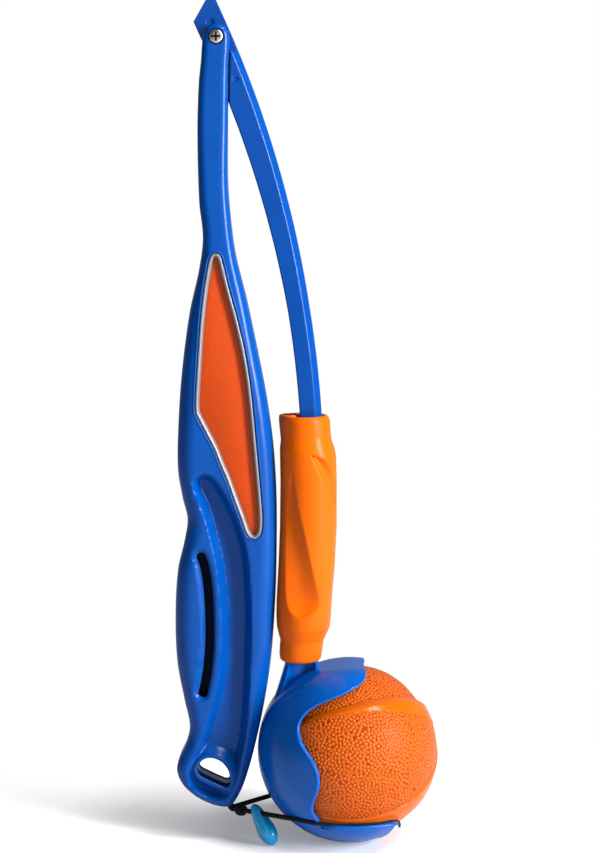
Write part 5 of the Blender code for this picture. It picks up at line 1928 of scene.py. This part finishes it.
@dataclass
class Ball:
    """The rubber ball: a pebbled skin with two smooth bands."""

    palette: Palette
    centre: Vector = field(default_factory=lambda: Vector((0.0, 0.0, 33.5)) * MM)
    radius: float = 32.0 * MM
    cuts: int = 118
    pebbles: int = 6800
    pebble_height: float = 0.2 * MM
    relax_rounds: int = 8
    shake: float = 0.3
    pebble_reach: float = 1.2
    push_share: float = 0.16
    # Ways that the bands' edges lie square to, and how far out along them each edge is
    upper_way: tuple[float, float, float] = (-0.263, 0.451, 0.853)
    upper_edge: float = 10.45 * MM
    step_way: tuple[float, float, float] = (-0.105, 0.483, 0.869)
    step_edge: float = 5.43 * MM
    lower_way: tuple[float, float, float] = (0.049, 0.534, -0.844)
    lower_edges: tuple[float, float] = (1.7 * MM, 12.0 * MM)
    step_depth: float = 1.35 * MM
    lower_proud: float = 0.22 * MM

    def build(self) -> None:
        """Build the ball."""
        deselect()
        bpy.ops.mesh.primitive_cube_add(size=2.0)
        ball = bpy.context.object
        ball.name = "pebbled_ball"
        with edit_mode(ball, "SELECT"):
            bpy.ops.mesh.subdivide(number_cuts=self.cuts)
        count = len(ball.data.vertices)
        places = np.empty(count * 3)
        ball.data.vertices.foreach_get("co", places)
        places = places.reshape(-1, 3)
        squares = places**2
        ways = places * np.sqrt(np.maximum(0.0, 1 - (squares[:, (1, 2, 0)] + squares[:, (2, 0, 1)]) / 2
                                           + squares[:, (1, 2, 0)] * squares[:, (2, 0, 1)] / 3))
        height, bare = self.skin(ways)
        places = ways * (self.radius + height)[:, None] + np.array(self.centre)
        ball.data.vertices.foreach_set("co", places.ravel())
        store = ball.data.attributes.new("bare", "FLOAT", "POINT")
        store.data.foreach_set("value", bare)
        self.pebble(ball, ways)
        ball.data.update()
        take_up(ball)
        bpy.ops.object.shade_smooth()
        self.palette.dress(ball, "ball_orange")
        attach(ball, Body.BALL.value)
        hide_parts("ball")
        LOG.info("ball: %d faces", len(ball.data.polygons))

    def pebble_places(self) -> kdtree.KDTree:
        """Evenly spread pebbles in no order: shaken places that push each other apart.

        Returns:
            A search tree of their middles, on a round of radius 1.
        """
        golden, pitch = pi * (3 - sqrt(5)), sqrt(4 * pi / self.pebbles)
        ups = 1 - 2 * (np.arange(self.pebbles) + 0.5) / self.pebbles
        flats, turns = np.sqrt(1 - ups**2), golden * np.arange(self.pebbles)
        spots = np.column_stack((flats * np.cos(turns), ups, flats * np.sin(turns)))
        spots += np.random.default_rng(7).normal(0, self.shake * pitch, spots.shape)
        spots /= np.linalg.norm(spots, axis=1)[:, None]
        reach = self.pebble_reach * pitch
        for _ in range(self.relax_rounds):
            tree = self.tree_of(spots)
            moved = spots.copy()
            for i, spot in enumerate(spots):
                for other, _, away in tree.find_n(spot, 7)[1:]:
                    if away < reach:
                        push = Vector(spot) - other
                        moved[i] += np.array(push) / max(away, WELD) * (reach - away) * self.push_share
            spots = moved / np.linalg.norm(moved, axis=1)[:, None]
        return self.tree_of(spots)

    @staticmethod
    def tree_of(spots: np.ndarray) -> kdtree.KDTree:
        """A search tree of places.

        Args:
            spots: The places.

        Returns:
            The tree.
        """
        tree = kdtree.KDTree(len(spots))
        for i, spot in enumerate(spots):
            tree.insert(spot, i)
        tree.balance()
        return tree

    def pebble(self, ball: Thing, ways: np.ndarray) -> None:
        """Note, for each face corner, how far off its face's pebble it is.

        Args:
            ball: The ball.
            ways: Direction of each of its points.
        """
        tree = self.pebble_places()
        offs = np.empty((len(ball.data.loops), 3))
        corners = np.empty(len(ball.data.loops), dtype=np.int32)
        ball.data.loops.foreach_get("vertex_index", corners)
        for face in ball.data.polygons:
            around = corners[face.loop_start:face.loop_start + face.loop_total]
            middle = ways[around].mean(axis=0)
            spot = tree.find(middle / np.linalg.norm(middle))[0]
            offs[face.loop_start:face.loop_start + face.loop_total] = ways[around] - np.array(spot)
        store = ball.data.attributes.new("off_pebble", "FLOAT_VECTOR", "CORNER")
        store.data.foreach_set("vector", (offs * self.radius / MM).ravel())

    def skin(self, ways: np.ndarray) -> tuple[np.ndarray, np.ndarray]:
        """Height of the skin over the round, and how bare it is of pebbles, for each direction.

        Args:
            ways: The directions.

        Returns:
            The heights, and how bare each place is, from 0 to 1.
        """
        above = self.along(ways, self.upper_way) - self.upper_edge
        below = self.along(ways, self.step_way) - self.step_edge
        upper = ease(-above / (0.3 * MM)) * ease(below / (0.3 * MM))
        under, (near, far) = self.along(ways, self.lower_way), self.lower_edges
        lower = ease((under - near) / (0.4 * MM)) * ease((far - under) / (0.4 * MM))
        smooth = np.maximum(upper, lower)
        sunk = self.step_depth * ease(1 + above / (3.4 * MM)) * (1 - 0.5 * ease(above / (14.0 * MM)))
        height = -self.pebble_height * (1 - smooth) - sunk + lower * self.lower_proud
        return height, smooth

    def along(self, ways: np.ndarray, way: tuple[float, float, float]) -> np.ndarray:
        """How far along a way each place of the round skin lies."""
        return ways @ np.array(Vector(way).normalized()) * self.radius


# The elastic loop


@dataclass
class Loop:
    """The elastic loop from the handle's end round the cup, with its knot and its pull bead."""

    palette: Palette
    handle: Handle
    diameter: float = 1.8 * MM
    gap: float = 0.3 * MM
    ball_radius: float = 32.0 * MM
    ball_height: float = 33.5 * MM
    cavity: float = 32.3 * MM
    belt_wall: float = 0.9 * MM
    jaw_drop: float = 22.0 * MM
    jaw_out: float = 14.8 * MM
    hole_depth: float = 5.0 * MM
    hole_lean: float = radians(30.0)
    spread: float = 1.9 * MM
    strand_drop: float = 1.8 * MM
    strand_run: float = 1.5 * MM
    mouth_share: tuple[float, float] = (0.9925, 0.094)
    bead_length: float = 16.8 * MM
    bead_radius: float = 3.4 * MM
    bead_hole_drop: float = 3.6 * MM
    bead_hole_run: float = 10.4 * MM
    bead_lean_right: float = radians(29.0)
    bead_lean_forward: float = radians(16.0)
    knot_length: float = 4.4 * MM
    knot_radius: float = 1.75 * MM
    bead_shares: Shares = (
        (0.03, 0.28), (0.12, 0.56), (0.26, 0.72), (0.45, 0.88), (0.64, 1.0), (0.80, 0.92), (0.92, 0.62),
        (0.98, 0.30),
    )

    @property
    def belt_height(self) -> float:
        """Height of the loop's middle line on the jaw's rim."""
        return self.ball_height - self.jaw_drop + self.diameter / 2 + 2 * self.gap

    def belt_radius(self) -> float:
        """Distance of the loop from the cup's axis in its groove."""
        reach = self.cavity + self.belt_wall + self.gap + self.diameter / 2
        return sqrt(reach**2 - (self.ball_height - self.belt_height) ** 2)

    def rim_radius(self) -> float:
        """The same where the loop lies on the jaw's rim, next to the ball."""
        reach = self.ball_radius + self.gap + self.diameter / 2
        return sqrt(reach**2 - (self.ball_height - self.belt_height) ** 2) + 0.01 * MM

    def hole_mouth(self, side: int) -> tuple[Vector, Vector]:
        """Middle of a cord hole's mouth and the way out of it."""
        spot = self.handle.at(*self.mouth_share)
        return (Vector((spot.x, side * self.spread, spot.z)),
                Vector((sin(self.hole_lean), 0.0, -cos(self.hole_lean))))

    def strand(self, side: int) -> tuple[Vector, Vector, float]:
        """Start and end of a free strand, and the turn at which it meets the belt.

        Args:
            side: -1 for the front strand, 1 for the rear one.

        Returns:
            Start, end and turn.
        """
        mouth, outward = self.hole_mouth(side)
        start = mouth + outward * self.strand_drop + Vector((self.strand_run, 0.0, 0.0))
        radius = self.belt_radius()
        turn = atan2(start.y, start.x) - side * acos(radius / sqrt(start.x**2 + start.y**2))
        return start, Vector((radius * cos(turn), radius * sin(turn), self.belt_height)), turn * side

    def round_tip(self, out_share: float, side_share: float) -> Vector:
        """A place of the loop in front of the jaw's tip, close under the ball.

        Args:
            out_share: How far out it lies, as a share of the jaw's reach.
            side_share: How far to the side, as a share of the ball's radius.

        Returns:
            The place.
        """
        clear = self.diameter / 2 + self.gap
        reach = self.ball_radius + clear
        x, y = out_share * (self.jaw_out + clear + self.gap), side_share * reach
        return Vector((x, y, self.ball_height - sqrt(reach**2 - x**2 - y**2) - self.gap))

    def half_route(self, side: int) -> list[Vector]:
        """Half of the loop's route, from its hole to the side of the jaw's tip.

        Args:
            side: -1 for the front half, 1 for the rear one.

        Returns:
            Points of the route.
        """
        mouth, outward = self.hole_mouth(side)
        start, end, turn = self.strand(side)
        route = [mouth - outward * (self.hole_depth - self.gap), mouth, mouth + outward * self.strand_drop]
        route += [start.lerp(end, share / 4) for share in range(4)]
        outer, inner = self.belt_radius(), self.rim_radius()
        turn %= 2 * pi
        bends = ((turn, outer), ((turn + radians(117.0)) / 2, outer), (radians(117.0), outer),
                 (radians(105.0), (outer + inner) / 2), (radians(93.0), inner), (radians(80.0), inner),
                 (radians(67.0), inner), (radians(55.0), inner))
        for bend, radius in bends:
            route.append(Vector((radius * cos(bend), side * radius * sin(bend), self.belt_height)))
        for out_share, side_share in ((1.04, 0.575), (1.08, 0.45), (1.09, 0.24)):
            route.append(self.round_tip(out_share, side * side_share))
        return route

    def route(self, spacing: float) -> list[Vector]:
        """The whole route at an even spacing."""
        points = [*self.half_route(-1), self.round_tip(1.09, 0.0), *self.half_route(1)[::-1]]
        return even_line(points, spacing, scaled=False)

    def groove(self) -> Thing:
        """Room for the loop in what it passes through."""
        line = self.route(2.5 * MM)
        return tube("loop_groove", line, [self.diameter / 2 + self.gap] * len(line), 16)

    def bead_hole(self) -> Vector:
        """Where the front strand passes through the bead."""
        start, end, _ = self.strand(-1)
        return start + (end - start).normalized() * self.bead_hole_run

    def bead(self) -> Thing:
        """The drop-shaped pull bead.

        Returns:
            The bead.
        """
        hole = self.bead_hole()
        down = Vector((tan(self.bead_lean_right), -tan(self.bead_lean_forward), -1.0)).normalized()
        marks = [Vector((0.0, 0.0, 0.0))] + [Vector((wide * self.bead_radius, 0.0, -along * self.bead_length))
                                            for along, wide in self.bead_shares]
        marks.append(Vector((0.0, 0.0, -self.bead_length)))
        line = even_line(marks, 0.35 * MM)
        profile = [(max(point.x, 0.0), point.z) for point in line]
        bead = turned("teal_pull_bead", profile, 72, aim(hole - down * self.bead_hole_drop, -down))
        start, end, _ = self.strand(-1)
        run = (end - start).normalized()
        combine(bead, [rod("bead_hole", self.diameter / 2 + 0.2 * MM, self.bead_radius * 4,
                           aim(hole - run * self.bead_radius * 2, run), 32)])
        smooth_by_angle(bead)
        self.palette.dress(bead, "bead_teal")
        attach(bead, Body.HANDLE.value)
        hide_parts("pull_bead")
        return bead

    def knot(self) -> Thing:
        """The wrapped knot on the front strand, close to the handle.

        Returns:
            The knot.
        """
        start, end, _ = self.strand(-1)
        run = (end - start).normalized()
        side = run.orthogonal().normalized()
        other = run.cross(side)
        turns, steps = 3.2, 80
        coil = self.diameter / 2 * 0.82
        line = []
        for i in range(steps + 1):
            share = i / steps
            a = 2 * pi * turns * share
            reach = (self.knot_radius - coil * 0.35) * (1 - 0.35 * abs(2 * share - 1) ** 3)
            along = self.gap + coil + (self.knot_length - 2 * coil) * share
            line.append(start + run * along + (side * cos(a) + other * sin(a)) * reach)
        knot = tube("wrapped_knot", line, [coil] * len(line), 12)
        smooth_by_angle(knot, radians(60.0))
        self.palette.dress(knot, "cord_black")
        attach(knot, Body.HANDLE.value)
        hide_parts("loop_knot")
        return knot

    def cord_radii(self, line: Line) -> list[float]:
        """The cord's radius at each point: a little thinner where it lies stretched on the jaw.

        Args:
            line: The cord's route.

        Returns:
            One radius for each point.
        """
        thin = ease((np.array([point.x for point in line]) + 14.0 * MM) / (8.0 * MM))
        tip = ease((np.array([point.x for point in line]) - 6.0 * MM) / (5.0 * MM))
        return list(self.diameter / 2 * (1 - 0.42 * thin - 0.2 * tip))

    def build(self) -> None:
        """Build the loop, its knot and its bead."""
        line = self.route(1.0 * MM)
        cord = tube("elastic_cord", line, self.cord_radii(line), 16)
        smooth_by_angle(cord, radians(60.0))
        self.palette.dress(cord, "cord_black")
        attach(cord, Body.HANDLE.value)
        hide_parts("elastic_loop")
        knot, bead = self.knot(), self.bead()
        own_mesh(cord)


# The studio


@dataclass(frozen=True)
class Lamp:
    """A soft lamp: where it hangs, its size and its power in watts."""

    name: str
    place: tuple[float, float, float]
    width: float
    height: float
    power: float


@dataclass
class Studio:
    """A pale seamless floor, soft lamps and the camera."""

    target: Vector = field(default_factory=lambda: Vector((-18.93, 0.0, 154.12)) * MM)
    camera_place: Vector = field(default_factory=lambda: Vector((-18.93, -734.48, 244.30)) * MM)
    lens: float = 85.8
    sensor_height: float = 36.0
    lamps: tuple[Lamp, ...] = (
        Lamp("key", (1.2, -0.76, 0.56), 0.32, 0.8, 37.0),
        Lamp("top", (0.62, -0.36, 1.25), 0.34, 0.34, 9.0),
        Lamp("fill", (0.1, -1.7, 0.7), 1.2, 1.2, 2.4),
    )
    air: float = 0.1
    backdrop_glow: float = 0.35
    floor_radius: float = 6.0
    floor_sink: float = 0.05 * MM
    floor_colour: Colour = (0.9, 0.9, 0.905)
    # Glow of the floor near the object and far from it; the lower glow near the foot is painted shade.
    near_glow: float = 0.24
    far_glow: float = 0.66
    # Distances from the object's foot between which the floor's glow grows, and its colour turns white
    glow_reach: tuple[float, float] = (0.045, 0.12)
    white_reach: tuple[float, float] = (0.09, 0.165)

    def camera(self) -> None:
        """Set up the camera at the photograph's own place."""
        data = bpy.data.cameras.new("camera")
        data.sensor_fit = "VERTICAL"
        data.sensor_height = self.sensor_height
        data.lens = self.lens
        data.clip_start = 0.01
        eye = bpy.data.objects.new("camera", data)
        self.aim_at_target(eye, self.camera_place)
        bpy.context.scene.camera = eye

    def aim_at_target(self, thing: Thing, place: Sequence[float]) -> None:
        """Put a camera or lamp in its place, turned to the object.

        Args:
            thing: The camera or lamp.
            place: Where it goes.
        """
        thing.location = place
        thing.rotation_euler = (self.target - Vector(place)).to_track_quat("-Z", "Y").to_euler()
        bpy.context.scene.collection.objects.link(thing)

    def hang(self, lamp: Lamp) -> None:
        """Hang a soft lamp that points at the object.

        Args:
            lamp: The lamp.
        """
        data = bpy.data.lights.new(lamp.name, "AREA")
        data.shape = "RECTANGLE"
        data.size, data.size_y = lamp.width, lamp.height
        data.energy = lamp.power
        self.aim_at_target(bpy.data.objects.new(lamp.name, data), lamp.place)

    def backdrop(self) -> None:
        """Lay the floor, whose lower glow near the object paints shade round its foot, and which fades to
        plain white away from it.
        """
        deselect()
        bpy.ops.mesh.primitive_circle_add(vertices=96, radius=self.floor_radius, fill_type="NGON")
        floor = bpy.context.object
        floor.name = "floor"
        floor.data.transform(Matrix.Translation((0.0, 0.0, -self.floor_sink)))
        nodes = FinishNodes("pale_floor")
        fill(nodes.shader, {"Base Color": (*self.floor_colour, 1.0), "Roughness": 0.85,
                            "Specular IOR Level": 0.15, "Emission Color": (1.0, 1.0, 1.0, 1.0)})
        away, seen = nodes.length(nodes.place), self.seen_ray(nodes)
        # Painted shade: less glow close to the object's foot.
        glow = nodes.spread(away, self.near_glow, self.far_glow, *self.glow_reach)
        nodes.link(nodes.multiply(seen, glow), nodes.shader.inputs["Emission Strength"])
        white, mix = nodes.add("ShaderNodeEmission"), nodes.add("ShaderNodeMixShader")
        share = nodes.multiply(nodes.spread(away, 0.0, 1.0, *self.white_reach), seen)
        for source, target in zip((share, nodes.shader.outputs[0], white.outputs[0]), mix.inputs):
            nodes.link(source, target)
        nodes.link(mix.outputs[0], nodes.tree.nodes["Material Output"].inputs["Surface"])
        floor.data.materials.append(nodes.material)

    def seen_ray(self, nodes: Nodes) -> Socket:
        """1 for the rays that show the background: from the camera, and through glass."""
        path = nodes.add("ShaderNodeLightPath").outputs
        return nodes.larger(path["Is Camera Ray"], path["Is Transmission Ray"])

    def world(self) -> None:
        """Fill the air with a soft even light, seen as plain white and mirrored as a pale backdrop."""
        world = bpy.data.worlds.new("studio")
        world.use_nodes = True
        nodes = Nodes(world.node_tree)
        path = nodes.add("ShaderNodeLightPath").outputs
        way = nodes.add("ShaderNodeSeparateXYZ")
        nodes.link(nodes.add("ShaderNodeTexCoord").outputs["Generated"], way.inputs[0])
        behind = nodes.spread(way.outputs["Y"], 0.0, self.backdrop_glow, 0.1, 0.6)
        bright = nodes.larger(nodes.multiply(behind, path["Is Glossy Ray"]), path["Is Camera Ray"])
        back = nodes.tree.nodes["Background"]
        nodes.link(nodes.spread(bright, self.air, 1.0, 0.0, 1.0), back.inputs["Strength"])
        back.inputs["Color"].default_value = (1.0, 1.0, 1.0, 1.0)
        bpy.context.scene.world = world

    def build(self) -> None:
        """Set up the whole studio."""
        self.camera()
        self.backdrop()
        self.world()
        for lamp in self.lamps:
            self.hang(lamp)
        bpy.context.scene.view_settings.view_transform = "Standard"


def dress_kept_nodes(frame: dict, palette: Palette) -> None:
    """Give the CAD nodes that stay their finishes.

    Args:
        frame: The loaded frame.
        palette: The finishes.
    """
    for name in ("upper_cup_pin", "lower_cup_pin"):
        node = frame["nodes"][name]
        for number in range(len(node.material_slots)):
            node.material_slots[number].material = palette.materials["steel"]


def main() -> None:
    """Build the thrower, piece by piece, and its studio."""
    logging.basicConfig(level=logging.INFO, format="%(message)s")
    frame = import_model()
    palette = Palette()
    handle = Handle(palette)
    loop = Loop(palette, handle)
    Studio().build()
    loop.build()
    LOG.info("studio and loop are in place")
    handle.build()
    Pivot(palette, handle).build()
    Arm(palette, handle.pivot).build()
    Grip(palette).build()
    Cup(palette, loop).build()
    Ball(palette).build()
    dress_kept_nodes(frame, palette)


if __name__ == "__main__":
    main()
